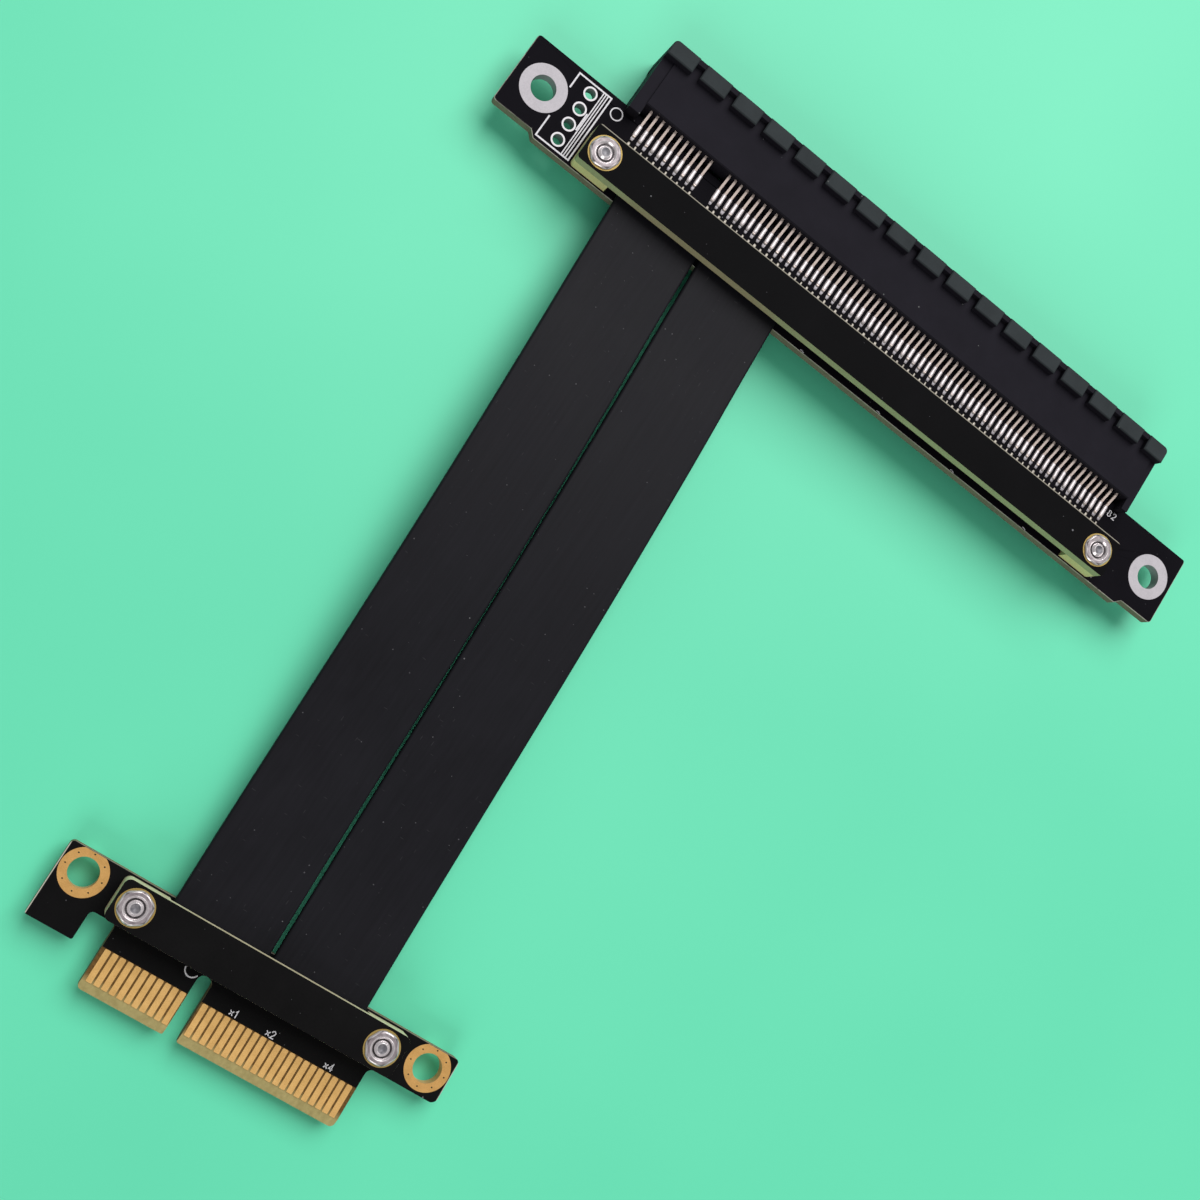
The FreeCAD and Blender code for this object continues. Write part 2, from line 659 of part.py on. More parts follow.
def land_pair(label, frame, su, span, sv):
    b = new_body(label, frame)
    sk = new_sketch(b, "ring", "XY_Plane", (ZERO, ZERO, cover_top))
    circle(sk, su, sv, nut_land_r)
    circle(sk, su, sv, cover_hole_r)
    f1 = pad(b, "plate", sk, copper_thick)
    doc.recompute()
    pattern(b, "pair", [f1], "X_Axis", span, 2)


cover_strip("slot_cover", "slot", sc_left, sc_right, sc_front, sc_rear, sc_corner, sc_screw_u, sc_screw_span, sc_screw_v)
spacer("slot_spacer_left", "slot", sc_left, sc_left + ss_long, sc_front, sc_rear,
       [(sc_left, sc_front), (sc_left, sc_rear)], sc_corner, sc_screw_u, sc_screw_v)
spacer("slot_spacer_right", "slot", sc_right - ss_long, sc_right, sc_front, sc_rear,
       [(sc_right, sc_front), (sc_right, sc_rear)], sc_corner, sc_screw_u + sc_screw_span, sc_screw_v)
nut_pair("slot_nuts", "slot", sc_screw_u, sc_screw_span, sc_screw_v, (9, 5))
screw_pair("slot_screws", "slot", sc_screw_u, sc_screw_span, sc_screw_v, slot_head_high)
land_pair("slot_nut_lands", "slot", sc_screw_u, sc_screw_span, sc_screw_v)

cover_strip("edge_cover", "edge", ec_left, ec_right, ec_front, ec_rear, ec_corner, ec_screw_u, ec_screw_span, ec_screw_v)
spacer("edge_spacer_left", "edge", ec_left, ec_left + es_long, ec_front, ec_rear,
       [(ec_left, ec_front), (ec_left, ec_rear)], ec_corner, ec_screw_u, ec_screw_v)
spacer("edge_spacer_right", "edge", ec_right - es_long, ec_right, ec_front, ec_rear,
       [(ec_right, ec_front), (ec_right, ec_rear)], ec_corner, ec_screw_u + ec_screw_span, ec_screw_v)
nut_pair("edge_nuts", "edge", ec_screw_u, ec_screw_span, ec_screw_v, (30, 0))
screw_pair("edge_screws", "edge", ec_screw_u, ec_screw_span, ec_screw_v, edge_head_high)
land_pair("edge_nut_lands", "edge", ec_screw_u, ec_screw_span, ec_screw_v)

# ---------------------------------------------------------------- edge board
b = new_body("edge_board", "edge")
sk = new_sketch(b, "outline", "XY_Plane")
polygon(sk, [
    (eb_left, eb_rear), (eb_left, eb_leg_front), (eb_leg_right, eb_leg_front), (eb_leg_right, eb_gap_rear),
    (tongue_left, eb_gap_rear), (tongue_left, tongue_end), (notch_left, tongue_end), (notch_left, eb_ear_front),
    (notch_right, eb_ear_front), (notch_right, tongue_end), (tongue_right, tongue_end), (tongue_right, eb_ear_front),
    (eb_right, eb_ear_front), (eb_right, eb_rear)])
pad(b, "plate", sk, board_thick, down=True)
sk = new_sketch(b, "holes", "XY_Plane")
circle(sk, eb_mount_u, eb_mount_v, eb_mount_r + plating_wall)
circle(sk, eb_mount_u + eb_mount_span, eb_mount_v, eb_mount_r + plating_wall)
circle(sk, ec_screw_u, ec_screw_v, screw_hole_r)
circle(sk, ec_screw_u + ec_screw_span, ec_screw_v, screw_hole_r)
pocket(b, "holes_cut", sk)
round_uprights(b, "corners_small", [
    (eb_left, eb_leg_front), (eb_leg_right, eb_leg_front), (notch_left, tongue_end), (notch_right, tongue_end)], 0.25)
round_uprights(b, "corners_medium", [
    (eb_left, eb_rear), (eb_right, eb_rear), (tongue_left, tongue_end), (tongue_right, tongue_end),
    (tongue_left, eb_gap_rear), (eb_leg_right, eb_gap_rear)], 0.6)
round_uprights(b, "corners_large", [
    (eb_right, eb_ear_front), (tongue_right, eb_ear_front), (notch_left, eb_ear_front), (notch_right, eb_ear_front)], 0.85)
# insertion bevel on both faces of the tongue
sk = new_sketch(b, "bevel", "YZ_Plane", (ZERO, ZERO, eb_right + 5))
far = tongue_end - 0.15
deep = tongue_bevel_deep + 0.06
polygon(sk, [(tongue_bevel, ZERO), (far, -deep), (far, Q.of(0.2)), (tongue_bevel, Q.of(0.2))])
polygon(sk, [(tongue_bevel, -board_thick), (tongue_bevel, (-board_thick) - 0.2), (far, (-board_thick) - 0.2),
             (far, (-board_thick) + deep)])
pocket(b, "bevel_cut", sk)

for label, base, down in (("edge_fingers_upper", ZERO, False), ("edge_fingers_lower", -board_thick, True)):
    b = new_body(label, "edge")
    for name, at, count in (("short", ZERO, short_count), ("long", long_first, edge_long_count)):
        sk = new_sketch(b, name, "XY_Plane", (ZERO, ZERO, base))
        rectangle(sk, at - 0.5 * finger_wide, at + 0.5 * finger_wide, finger_end, finger_rear)
        p = pad(b, name + "_finger", sk, copper_thick, down=down)
        doc.recompute()
        pattern(b, name + "_row", [p], "X_Axis", contact_pitch * (count - 1), count)

b = new_body("edge_mount_rings", "edge")
r1 = plated_ring(b, "ring", eb_mount_u, eb_mount_v, eb_mount_r, eb_land_r)
# the lands stop just short of the board's rear edge
sk = new_sketch(b, "trim", "XY_Plane", (ZERO, ZERO, copper_thick + 0.5))
rectangle(sk, eb_mount_u - 5, eb_mount_u + 5, eb_rear - eb_land_margin, eb_rear + 3)
f2 = pocket(b, "trim_cut", sk)
pattern(b, "pair", [r1, f2], "X_Axis", eb_mount_span, 2)

# ------------------------------------------------------------------- ribbons
turn = math.radians(edge_turn.value)


def edge_to_slot(u, v):
    return (edge_u.value + u * math.cos(turn) - v * math.sin(turn),
            edge_v.value + u * math.sin(turn) + v * math.cos(turn))


edge_top = slot_z.value - edge_drop.value
half = 0.5 * ribbon_thick.value


def ribbon_frame(index):
    """Start point, heading and plan length of a ribbon, in the world."""
    a = edge_to_slot(ribbon_edge_u.value + index * ribbon_pitch.value, ribbon_edge_v.value)
    e = (ribbon_slot_u.value + index * ribbon_pitch.value, ribbon_slot_v.value)
    dx, dy = e[0] - a[0], e[1] - a[1]
    start = V(a[0] + slot_x.value, a[1] + slot_y.value, 0)
    return start, math.degrees(math.atan2(-dx, dy)), math.hypot(dx, dy)


def ribbon_route(length):
    """Side view of the route: distance along the ribbon and height."""
    low, high = edge_top + half, slot_z.value + half
    return [(0.0, low), (11.5, low), (27.0, low + 1.1), (45.0, low + 2.6), (64.0, low + 3.45),
            (82.5, high + 1.25), (length - 11.5, high), (length, high)]


def rounded(route):
    """Straight runs and tangent arcs: entries ('line', p, q) and ('arc', p, m, q, normals)."""
    out, radii = [], []
    here = route[0]
    for i in range(1, len(route) - 1):
        p0, p1, p2 = route[i - 1], route[i], route[i + 1]
        a = math.atan2(p1[1] - p0[1], p1[0] - p0[0])
        c = math.atan2(p2[1] - p1[1], p2[0] - p1[0])
        run = min(math.dist(p0, p1), math.dist(p1, p2))
        r = 0.45 * run / math.tan(abs(c - a) / 2)
        radii.append(r)
        t = 0.45 * run
        q0 = (p1[0] - t * math.cos(a), p1[1] - t * math.sin(a))
        q1 = (p1[0] + t * math.cos(c), p1[1] + t * math.sin(c))
        side = 1 if c > a else -1
        centre = (q0[0] - side * r * math.sin(a), q0[1] + side * r * math.cos(a))
        m = (a + c) / 2
        qm = (centre[0] + side * r * math.sin(m), centre[1] - side * r * math.cos(m))
        out.append(("line", here, q0, a))
        out.append(("arc", q0, qm, q1, a, m, c))
        here = q1
        last = c
    out.append(("line", here, route[-1], last))
    return out, radii


def off(p, angle, d):
    return V(-0.5 * ribbon_wide.value, p[0] - d * math.sin(angle), p[1] + d * math.cos(angle))


def chain_edges(pieces, d):
    edges = []
    for s in pieces:
        if s[0] == "line":
            edges.append(Part.LineSegment(off(s[1], s[3], d), off(s[2], s[3], d)).toShape())
        else:
            edges.append(Part.Arc(off(s[1], s[4], d), off(s[2], s[5], d), off(s[3], s[6], d)).toShape())
    return edges


for index, label in enumerate(("ribbon_left", "ribbon_right")):
    start, heading, length = ribbon_frame(index)
    route = ribbon_route(length)
    pieces, radii = rounded(route)
    print(label, "route", [(round(x, 2), round(z, 2)) for x, z in route])
    print(label, "radii", [round(r, 1) for r in radii])
    lower, upper = chain_edges(pieces, -half), chain_edges(pieces, half)
    ends = [Part.LineSegment(off(route[0], 0, -half), off(route[0], 0, half)).toShape(),
            Part.LineSegment(off(route[-1], 0, -half), off(route[-1], 0, half)).toShape()]
    wire = Part.Wire(Part.__sortEdges__(lower + upper + ends))
    w = ribbon_wide.value
    solid = Part.Face(wire).extrude(V(w, 0, 0))
    run = sum(e.Length for e in chain_edges(pieces, 0.0))
    print(label, "length %.2f" % run, "volume %.2f" % solid.Volume, "section x length %.2f" % (w * 2 * half * run))
    obj = doc.addObject("Part::Feature", label)
    obj.Label = label
    obj.Shape = solid
    obj.Placement = FreeCAD.Placement(start, FreeCAD.Rotation(V(0, 0, 1), heading))
    subparts.append(obj)
    b_frames[label] = "set"
    # stripped conductor ends, soldered on the boards at both ends of the ribbon
    b = new_body(label + "_conductors", "ribbon%d" % index)
    first = -0.5 * wire_pitch * (wire_count - 1)
    edge_level = slot_z - edge_drop
    for name, y0, y1, level in (("edge", -wire_long, ZERO, edge_level),
                                ("slot", Q.of(length), Q.of(length) + wire_long, slot_z)):
        sk = new_sketch(b, name, "XY_Plane", (ZERO, ZERO, level))
        rectangle(sk, first - 0.5 * wire_wide, first + 0.5 * wire_wide, y0, y1)
        p = pad(b, name + "_wire", sk, wire_thick)
        doc.recompute()
        pattern(b, name + "_row", [p], "X_Axis", wire_pitch * (wire_count - 1), wire_count)
    b.Placement = FreeCAD.Placement(start, FreeCAD.Rotation(V(0, 0, 1), heading))

# ---------------------------------------------------------------- placements
edge_origin = FreeCAD.Rotation(V(0, 0, 1), edge_turn.value)
for o in subparts:
    frame = b_frames[o.Label]
    if frame == "slot":
        o.setExpression("Placement.Base.x", slot_x.text)
        o.setExpression("Placement.Base.y", slot_y.text)
        o.setExpression("Placement.Base.z", slot_z.text)
    elif frame == "edge":
        o.Placement = FreeCAD.Placement(V(0, 0, 0), edge_origin)
        o.setExpression("Placement.Base.x", (slot_x + edge_u).text)
        o.setExpression("Placement.Base.y", (slot_y + edge_v).text)
        o.setExpression("Placement.Base.z", (slot_z - edge_drop).text)
        o.setExpression("Placement.Rotation.Angle", edge_turn.text)

doc.recompute()

# -------------------------------------------------------------------- checks
bad = []
for o in doc.Objects:
    if any(word in o.State for word in ("Invalid", "Error")):
        bad.append("%s %s" % (o.Name, o.State))
for o in subparts:
    if o.Shape.isNull() or not o.Shape.isValid() or not o.Shape.Solids:
        bad.append("%s shape" % o.Label)
if bad:
    raise RuntimeError("; ".join(bad))

os.makedirs("parts", exist_ok=True)
box = FreeCAD.BoundBox()
for o in subparts:
    o.Shape.exportStep("parts/%s.step" % o.Label)
    box.add(o.Shape.BoundBox)
    print("%-26s solids %3d  volume %9.3f" % (o.Label, len(o.Shape.Solids), o.Shape.Volume))
print("box", [round(x, 3) for x in (box.XMin, box.XMax, box.YMin, box.YMax, box.ZMin, box.ZMax)])
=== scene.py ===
import bpy
import math
import random
from mathutils import Matrix, Vector


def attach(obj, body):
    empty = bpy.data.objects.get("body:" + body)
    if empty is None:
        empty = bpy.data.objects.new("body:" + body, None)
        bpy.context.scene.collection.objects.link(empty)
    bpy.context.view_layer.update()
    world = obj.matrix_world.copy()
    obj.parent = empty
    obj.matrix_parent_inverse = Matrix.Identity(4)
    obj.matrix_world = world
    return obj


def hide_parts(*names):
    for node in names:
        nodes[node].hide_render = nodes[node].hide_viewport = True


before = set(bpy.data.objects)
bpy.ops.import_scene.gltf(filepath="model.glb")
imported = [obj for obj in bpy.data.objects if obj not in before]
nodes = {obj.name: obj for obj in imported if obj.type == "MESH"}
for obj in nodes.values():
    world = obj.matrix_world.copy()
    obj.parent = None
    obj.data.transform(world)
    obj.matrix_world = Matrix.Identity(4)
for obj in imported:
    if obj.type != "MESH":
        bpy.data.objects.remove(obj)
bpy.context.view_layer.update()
MM = 0.001
rng = random.Random(20)

# ------------------------------------------------------------------- frames
# Local frames of the two boards, in millimetres: u along the contact row,
# v across it, z 0 on the board's upper face.
TURN = math.radians(2.393)
EDGE_U = (math.cos(TURN), math.sin(TURN), 0.0)
EDGE_V = (-math.sin(TURN), math.cos(TURN), 0.0)


def slot_at(u, v, z):
    return Vector(((u - 40.42) * MM, (v + 64.53) * MM, (z + 5.0) * MM))


def edge_at(u, v, z):
    return Vector(((-36.006 + u * EDGE_U[0] + v * EDGE_V[0]) * MM,
                   (-56.978 + u * EDGE_U[1] + v * EDGE_V[1]) * MM, (z + 3.1) * MM))


# ------------------------------------------------------------------- camera
cam_data = bpy.data.cameras.new("camera")
cam_data.sensor_width = 36.0
cam_data.sensor_fit = "AUTO"
cam_data.lens = 49.1637
cam_data.clip_start = 0.005
cam_data.clip_end = 20.0
cam = bpy.data.objects.new("camera", cam_data)
right = Vector((0.78799667, 0.53990471, 0.29591241))
down = Vector((0.57481538, -0.81733203, -0.03944136))
ahead = Vector((0.22056411, 0.20117466, -0.95440045))
cam.matrix_world = Matrix((
    (right.x, -down.x, -ahead.x, -56.01326 * MM),
    (right.y, -down.y, -ahead.y, -37.46161 * MM),
    (right.z, -down.z, -ahead.z, 202.01240 * MM),
    (0, 0, 0, 1)))
bpy.context.scene.collection.objects.link(cam)
bpy.context.scene.camera = cam


# ---------------------------------------------------------------- materials
class Mat:
    """A Principled material whose pattern is laid out in object space, in metres."""

    def __init__(self, name, metallic=0.0, roughness=0.5, specular=0.5):
        self.mat = bpy.data.materials.new(name)
        self.mat.use_nodes = True
        self.nt = self.mat.node_tree
        self.nt.nodes.clear()
        self.out = self.nt.nodes.new("ShaderNodeOutputMaterial")
        self.bsdf = self.nt.nodes.new("ShaderNodeBsdfPrincipled")
        self.nt.links.new(self.bsdf.outputs["BSDF"], self.out.inputs["Surface"])
        self.bsdf.inputs["Metallic"].default_value = metallic
        self.bsdf.inputs["Roughness"].default_value = roughness
        self.bsdf.inputs["Specular IOR Level"].default_value = specular
        self.co = self.nt.nodes.new("ShaderNodeTexCoord").outputs["Object"]
        self.geo = None

    def put(self, socket, value):
        if hasattr(value, "is_output"):
            self.nt.links.new(value, socket)
        else:
            socket.default_value = value

    def set(self, name, value):
        self.put(self.bsdf.inputs[name], value)

    def math(self, op, a, b=0.0, c=None, clamp=False):
        n = self.nt.nodes.new("ShaderNodeMath")
        n.operation = op
        n.use_clamp = clamp
        self.put(n.inputs[0], a)
        self.put(n.inputs[1], b)
        if c is not None:
            self.put(n.inputs[2], c)
        return n.outputs[0]

    def vec(self, op, a, b):
        n = self.nt.nodes.new("ShaderNodeVectorMath")
        n.operation = op
        self.put(n.inputs[0], a)
        self.put(n.inputs[1], b)
        return n.outputs["Value"] if op in ("DOT_PRODUCT", "DISTANCE", "LENGTH") else n.outputs["Vector"]

    def along(self, axis, offset_mm=0.0):
        """Position along a direction, in millimetres."""
        return self.math("MULTIPLY_ADD", self.vec("DOT_PRODUCT", self.co, axis), 1000.0, -offset_mm)

    def mapped(self, scale=(1, 1, 1), turn=0.0, shift=(0, 0, 0)):
        n = self.nt.nodes.new("ShaderNodeMapping")
        self.put(n.inputs["Vector"], self.co)
        n.inputs["Scale"].default_value = scale
        n.inputs["Rotation"].default_value = (0, 0, turn)
        n.inputs["Location"].default_value = shift
        return n.outputs["Vector"]

    def noise(self, scale, detail=2.0, rough=0.5, at=None):
        n = self.nt.nodes.new("ShaderNodeTexNoise")
        self.put(n.inputs["Vector"], self.co if at is None else at)
        n.inputs["Scale"].default_value = scale
        n.inputs["Detail"].default_value = detail
        n.inputs["Roughness"].default_value = rough
        return n.outputs["Fac"]

    def span(self, value, lo, hi, out_lo=0.0, out_hi=1.0, smooth=False):
        n = self.nt.nodes.new("ShaderNodeMapRange")
        n.clamp = True
        n.interpolation_type = "SMOOTHSTEP" if smooth else "LINEAR"
        self.put(n.inputs["Value"], value)
        n.inputs["From Min"].default_value = lo
        n.inputs["From Max"].default_value = hi
        n.inputs["To Min"].default_value = out_lo
        n.inputs["To Max"].default_value = out_hi
        return n.outputs["Result"]

    def ramp(self, value, *stops):
        n = self.nt.nodes.new("ShaderNodeValToRGB")
        self.put(n.inputs["Fac"], value)
        el = n.color_ramp.elements
        while len(el) < len(stops):
            el.new(0.5)
        for e, (pos, colour) in zip(el, stops):
            e.position = pos
            e.color = (*colour, 1.0)
        return n.outputs["Color"]

    def mix(self, fac, a, b, blend="MIX"):
        n = self.nt.nodes.new("ShaderNodeMix")
        n.data_type = "RGBA"
        n.blend_type = blend
        ins = [s for s in n.inputs if s.enabled]
        self.put(ins[0], fac)
        self.put(ins[1], (*a, 1.0) if isinstance(a, tuple) else a)
        self.put(ins[2], (*b, 1.0) if isinstance(b, tuple) else b)
        return [s for s in n.outputs if s.enabled][0]

    def bump(self, height, strength, distance, under=None):
        n = self.nt.nodes.new("ShaderNodeBump")
        n.inputs["Strength"].default_value = strength
        n.inputs["Distance"].default_value = distance
        self.put(n.inputs["Height"], height)
        if under is not None:
            self.put(n.inputs["Normal"], under)
        return n.outputs["Normal"]

    def upness(self):
        """Size of the surface normal's vertical part: 1 on flat faces, 0 on sides."""
        if self.geo is None:
            self.geo = self.nt.nodes.new("ShaderNodeNewGeometry")
        s = self.nt.nodes.new("ShaderNodeSeparateXYZ")
        self.put(s.inputs[0], self.geo.outputs["True Normal"])
        return self.math("ABSOLUTE", s.outputs["Z"])

    def specks(self, scale, share, size, at=None):
        """Sparse round specks: one in some cells of a plan pattern."""
        n = self.nt.nodes.new("ShaderNodeTexVoronoi")
        n.voronoi_dimensions = "2D"
        n.inputs["Scale"].default_value = scale
        self.put(n.inputs["Vector"], self.co if at is None else at)
        s = self.nt.nodes.new("ShaderNodeSeparateColor")
        self.put(s.inputs[0], n.outputs["Color"])
        chosen = self.math("GREATER_THAN", s.outputs["Red"], 1.0 - share)
        grown = self.math("MULTIPLY", s.outputs["Green"], size)
        near = self.math("LESS_THAN", n.outputs["Distance"], grown)
        return self.math("MULTIPLY", chosen, near)


def fr4_edge(m, dark, light):
    """Sawn glass-fibre edge: thin layers stacked in height, with ragged fibres."""
    z = m.along((0, 0, 1))
    layers = m.math("MULTIPLY_ADD", m.math("SINE", m.math("MULTIPLY", z, 31.4)), 0.5, 0.5)
    fibre = m.noise(1.0, 3.0, 0.7, m.mapped((2600, 2600, 9000)))
    coarse = m.noise(420.0, 2.0, 0.6)
    f = m.math("ADD", m.math("MULTIPLY", layers, 0.25), m.math("MULTIPLY", fibre, 0.55))
    f = m.math("ADD", f, m.math("MULTIPLY", coarse, 0.2))
    return m.ramp(f, (0.28, dark), (0.72, light)), fibre


def solder_mask(name, low, high, edge_dark, edge_light, dust=0.05, extra=None, worn=None, where=None):
    """Matt black solder mask on flat faces, sawn laminate on the sides."""
    m = Mat(name, specular=0.03)
    cloud = m.noise(160.0, 3.0, 0.55)
    fine = m.noise(3800.0, 2.0, 0.5)
    base = m.ramp(m.math("ADD", m.math("MULTIPLY", cloud, 0.7), m.math("MULTIPLY", fine, 0.3)), (0.3, low), (0.7, high))
    specks = m.specks(520.0, dust, 0.075)
    specks2 = m.specks(1300.0, dust * 0.6, 0.09, m.mapped(shift=(0.013, 0.027, 0)))
    base = m.mix(specks, base, (0.16, 0.16, 0.17))
    base = m.mix(specks2, base, (0.07, 0.07, 0.075))
    if extra is not None:
        base = extra(m, base)
    edge, fibre = fr4_edge(m, edge_dark, edge_light)
    up = m.upness()
    flat = m.span(up, 0.55, 0.8)
    base = m.mix(flat, edge, base)
    if worn is not None:
        # the broken edges are rubbed down to the laminate, and the pale band along them is also a painted highlight
        rubbed_and_lit_edges = m.math("MULTIPLY", m.span(up, 0.20, 0.35), m.span(up, 0.99, 0.95))
        if where is not None:
            rubbed_and_lit_edges = m.math("MULTIPLY", rubbed_and_lit_edges, where(m))
        base = m.mix(m.math("MULTIPLY", rubbed_and_lit_edges, m.span(m.noise(700.0, 3.0, 0.6), 0.30, 0.55, 0.35, 1.0)), base, worn)
    m.set("Base Color", base)
    rough = m.math("ADD", m.span(cloud, 0.3, 0.7, 0.58, 0.66), m.math("MULTIPLY", fine, 0.05))
    side_rough = m.span(fibre, 0.2, 0.8, 0.6, 0.85)
    mixed = m.math("ADD", m.math("MULTIPLY", flat, rough), m.math("MULTIPLY", m.math("SUBTRACT", 1.0, flat), side_rough))
    m.set("Roughness", mixed)
    b = m.bump(m.noise(900.0, 2.0, 0.5), 0.05, 0.00008)
    m.set("Normal", m.bump(m.math("MULTIPLY", fibre, m.math("SUBTRACT", 1.0, flat)), 0.5, 0.00006, b))
    return m


def slot_cover_rim(m, base):
    # bare laminate line along the rear upper edge
    v = m.along((0, 1, 0), 64.53)
    wob = m.math("MULTIPLY", m.noise(1500.0, 2.0, 0.6), 0.05)
    line = m.span(m.math("ADD", v, wob), -11.87, -11.82)
    return m.mix(line, base, (0.32, 0.30, 0.24))


def tongue_zone(m, base):
    # brown laminate between the fingers, olive laminate on the insertion bevel
    v = m.math("ADD", m.along(EDGE_V), 56.978 * EDGE_V[1] + 36.006 * EDGE_V[0])
    u = m.math("ADD", m.along(EDGE_U), 56.978 * EDGE_U[1] + 36.006 * EDGE_U[0])
    grain = m.noise(2600.0, 3.0, 0.6)
    brown = m.ramp(grain, (0.3, (0.095, 0.050, 0.016)), (0.7, (0.165, 0.092, 0.030)))
    weave = m.noise(1.0, 3.0, 0.65, m.mapped((1500, 700, 1500), -TURN))
    olive = m.ramp(m.math("MULTIPLY_ADD", grain, 0.35, m.math("MULTIPLY", weave, 0.65)),
                   (0.3, (0.32, 0.260, 0.104)), (0.72, (0.48, 0.398, 0.172)))
    tongue = m.span(u, -2.0, -1.5)
    low = m.math("MULTIPLY", m.span(v, -6.02, -6.10), tongue)
    inner = m.span(v, -9.3, -10.45)
    zone = m.mix(m.math("MULTIPLY", inner, 0.75), brown, olive)
    out = m.mix(low, base, zone)
    out = m.mix(m.math("MULTIPLY", m.span(v, -10.25, -10.42), tongue), out, olive)
    # edges rubbed down to the laminate at both ends and along the rear
    wob = m.math("MULTIPLY", m.noise(1300.0, 3.0, 0.6), 0.06)
    ends = m.math("MAXIMUM", m.span(m.math("SUBTRACT", u, wob), -10.24, -10.29), m.span(m.math("ADD", u, wob), 43.29, 43.34))
    rear = m.math("MULTIPLY", m.span(m.math("ADD", v, wob), 2.66, 2.71), 0.6)
    return m.mix(m.math("MAXIMUM", ends, rear), out, (0.46, 0.45, 0.38))


def ears(m):
    # the ends of the slot board, and all of its front edge
    u = m.along((1, 0, 0), -40.42)
    v = m.along((0, 1, 0), 64.53)
    ends = m.math("MAXIMUM", m.span(u, -4.0, -4.6), m.span(u, 86.0, 86.6))
    return m.math("MULTIPLY", m.math("MAXIMUM", ends, m.span(v, -11.5, -12.5)), m.span(v, -6.15, -6.4))


# pale band on the slot board's broken edges: partly rubbed laminate, partly painted highlight
board_slot_mat = solder_mask("solder_mask_slot_board", (0.0042, 0.0037, 0.0055), (0.0072, 0.0065, 0.0092),
                             (0.11, 0.086, 0.062), (0.27, 0.22, 0.16), worn=(0.42, 0.40, 0.34), where=ears)
board_edge_mat = solder_mask("solder_mask_edge_board", (0.0044, 0.0043, 0.0045), (0.0072, 0.0070, 0.0073),
                             (0.12, 0.098, 0.058), (0.34, 0.29, 0.185), extra=tongue_zone)
cover_slot_mat = solder_mask("solder_mask_slot_cover", (0.0036, 0.0036, 0.0040), (0.0060, 0.0059, 0.0065),
                             (0.30, 0.275, 0.15), (0.50, 0.46, 0.27), dust=0.035, extra=slot_cover_rim)
cover_edge_mat = solder_mask("solder_mask_edge_cover", (0.0046, 0.0045, 0.0046), (0.0078, 0.0076, 0.0078),
                             (0.50, 0.45, 0.28), (0.82, 0.77, 0.54), dust=0.06)


def laminate(name, dark, light):
    m = Mat(name, specular=0.35)
    edge, fibre = fr4_edge(m, dark, light)
    m.set("Base Color", edge)
    m.set("Roughness", m.span(fibre, 0.2, 0.8, 0.5, 0.8))
    m.set("Normal", m.bump(fibre, 0.45, 0.00005))
    return m


spacer_slot_mat = laminate("laminate_olive", (0.56, 0.42, 0.17), (0.86, 0.68, 0.35))
spacer_edge_mat = laminate("laminate_cream", (0.48, 0.42, 0.25), (0.80, 0.74, 0.50))


def moulded():
    m = Mat("moulded_black", specular=0.03)
    cloud = m.noise(220.0, 3.0, 0.6)
    grain = m.noise(9000.0, 3.0, 0.7)
    f = m.math("ADD", m.math("MULTIPLY", cloud, 0.55), m.math("MULTIPLY", grain, 0.45))
    base = m.ramp(f, (0.3, (0.0105, 0.0096, 0.0136)), (0.7, (0.0165, 0.0152, 0.0210)))
    # the blocks' tops are painted a paler grey than the panel: a painted highlight for the light they catch
    rise = m.math("ABSOLUTE", m.along((0, 0, 1), 5.0 - 0.8))
    worn = m.math("MULTIPLY", m.span(rise, 3.92, 4.10), m.span(m.along((0, 1, 0), 64.53), 1.45, 1.65))
    painted_highlight_grey = m.ramp(f, (0.3, (0.026, 0.031, 0.033)), (0.7, (0.042, 0.050, 0.053)))
    base = m.mix(worn, base, painted_highlight_grey)
    dust = m.specks(600.0, 0.04, 0.07)
    base = m.mix(dust, base, (0.11, 0.115, 0.115))
    m.set("Base Color", base)
    m.set("Roughness", m.span(f, 0.3, 0.7, 0.50, 0.60))
    m.set("Normal", m.bump(grain, 0.16, 0.00004))
    return m


housing_mat = moulded()


def ribbon_jacket():
    m = Mat("ribbon_jacket", specular=0.085)
    turn = -math.radians(2.85)
    cloud = m.noise(95.0, 3.0, 0.6)
    drawn = m.noise(1.0, 3.0, 0.6, m.mapped((2400, 60, 2400), turn))
    fine = m.noise(5200.0, 2.0, 0.55)
    f = m.math("ADD", m.math("MULTIPLY", cloud, 0.5), m.math("MULTIPLY", drawn, 0.5))
    base = m.ramp(f, (0.3, (0.0080, 0.0079, 0.0100)), (0.7, (0.0122, 0.0119, 0.0152)))
    specks = m.specks(430.0, 0.035, 0.05)
    specks2 = m.specks(900.0, 0.05, 0.085, m.mapped(shift=(0.031, 0.017, 0)))
    base = m.mix(specks, base, (0.13, 0.13, 0.135))
    base = m.mix(specks2, base, (0.075, 0.074, 0.080))
    # short hair scratches in two directions
    scratch_a = m.specks(1.0, 0.05, 0.10, m.mapped((330, 3600, 1), 0.55))
    scratch_b = m.specks(1.0, 0.04, 0.10, m.mapped((3300, 300, 1), -0.2, (3.3, 1.7, 0)))
    scratch = m.math("MAXIMUM", scratch_a, scratch_b)
    base = m.mix(m.math("MULTIPLY", scratch, 0.38), base, (0.070, 0.069, 0.073))
    m.set("Base Color", base)
    rough = m.math("ADD", m.span(cloud, 0.3, 0.7, 0.44, 0.52), m.math("MULTIPLY", fine, 0.08))
    m.set("Roughness", rough)
    b = m.bump(drawn, 0.05, 0.00006)
    m.set("Normal", m.bump(fine, 0.06, 0.00003, b))
    return m


ribbon_mat = ribbon_jacket()


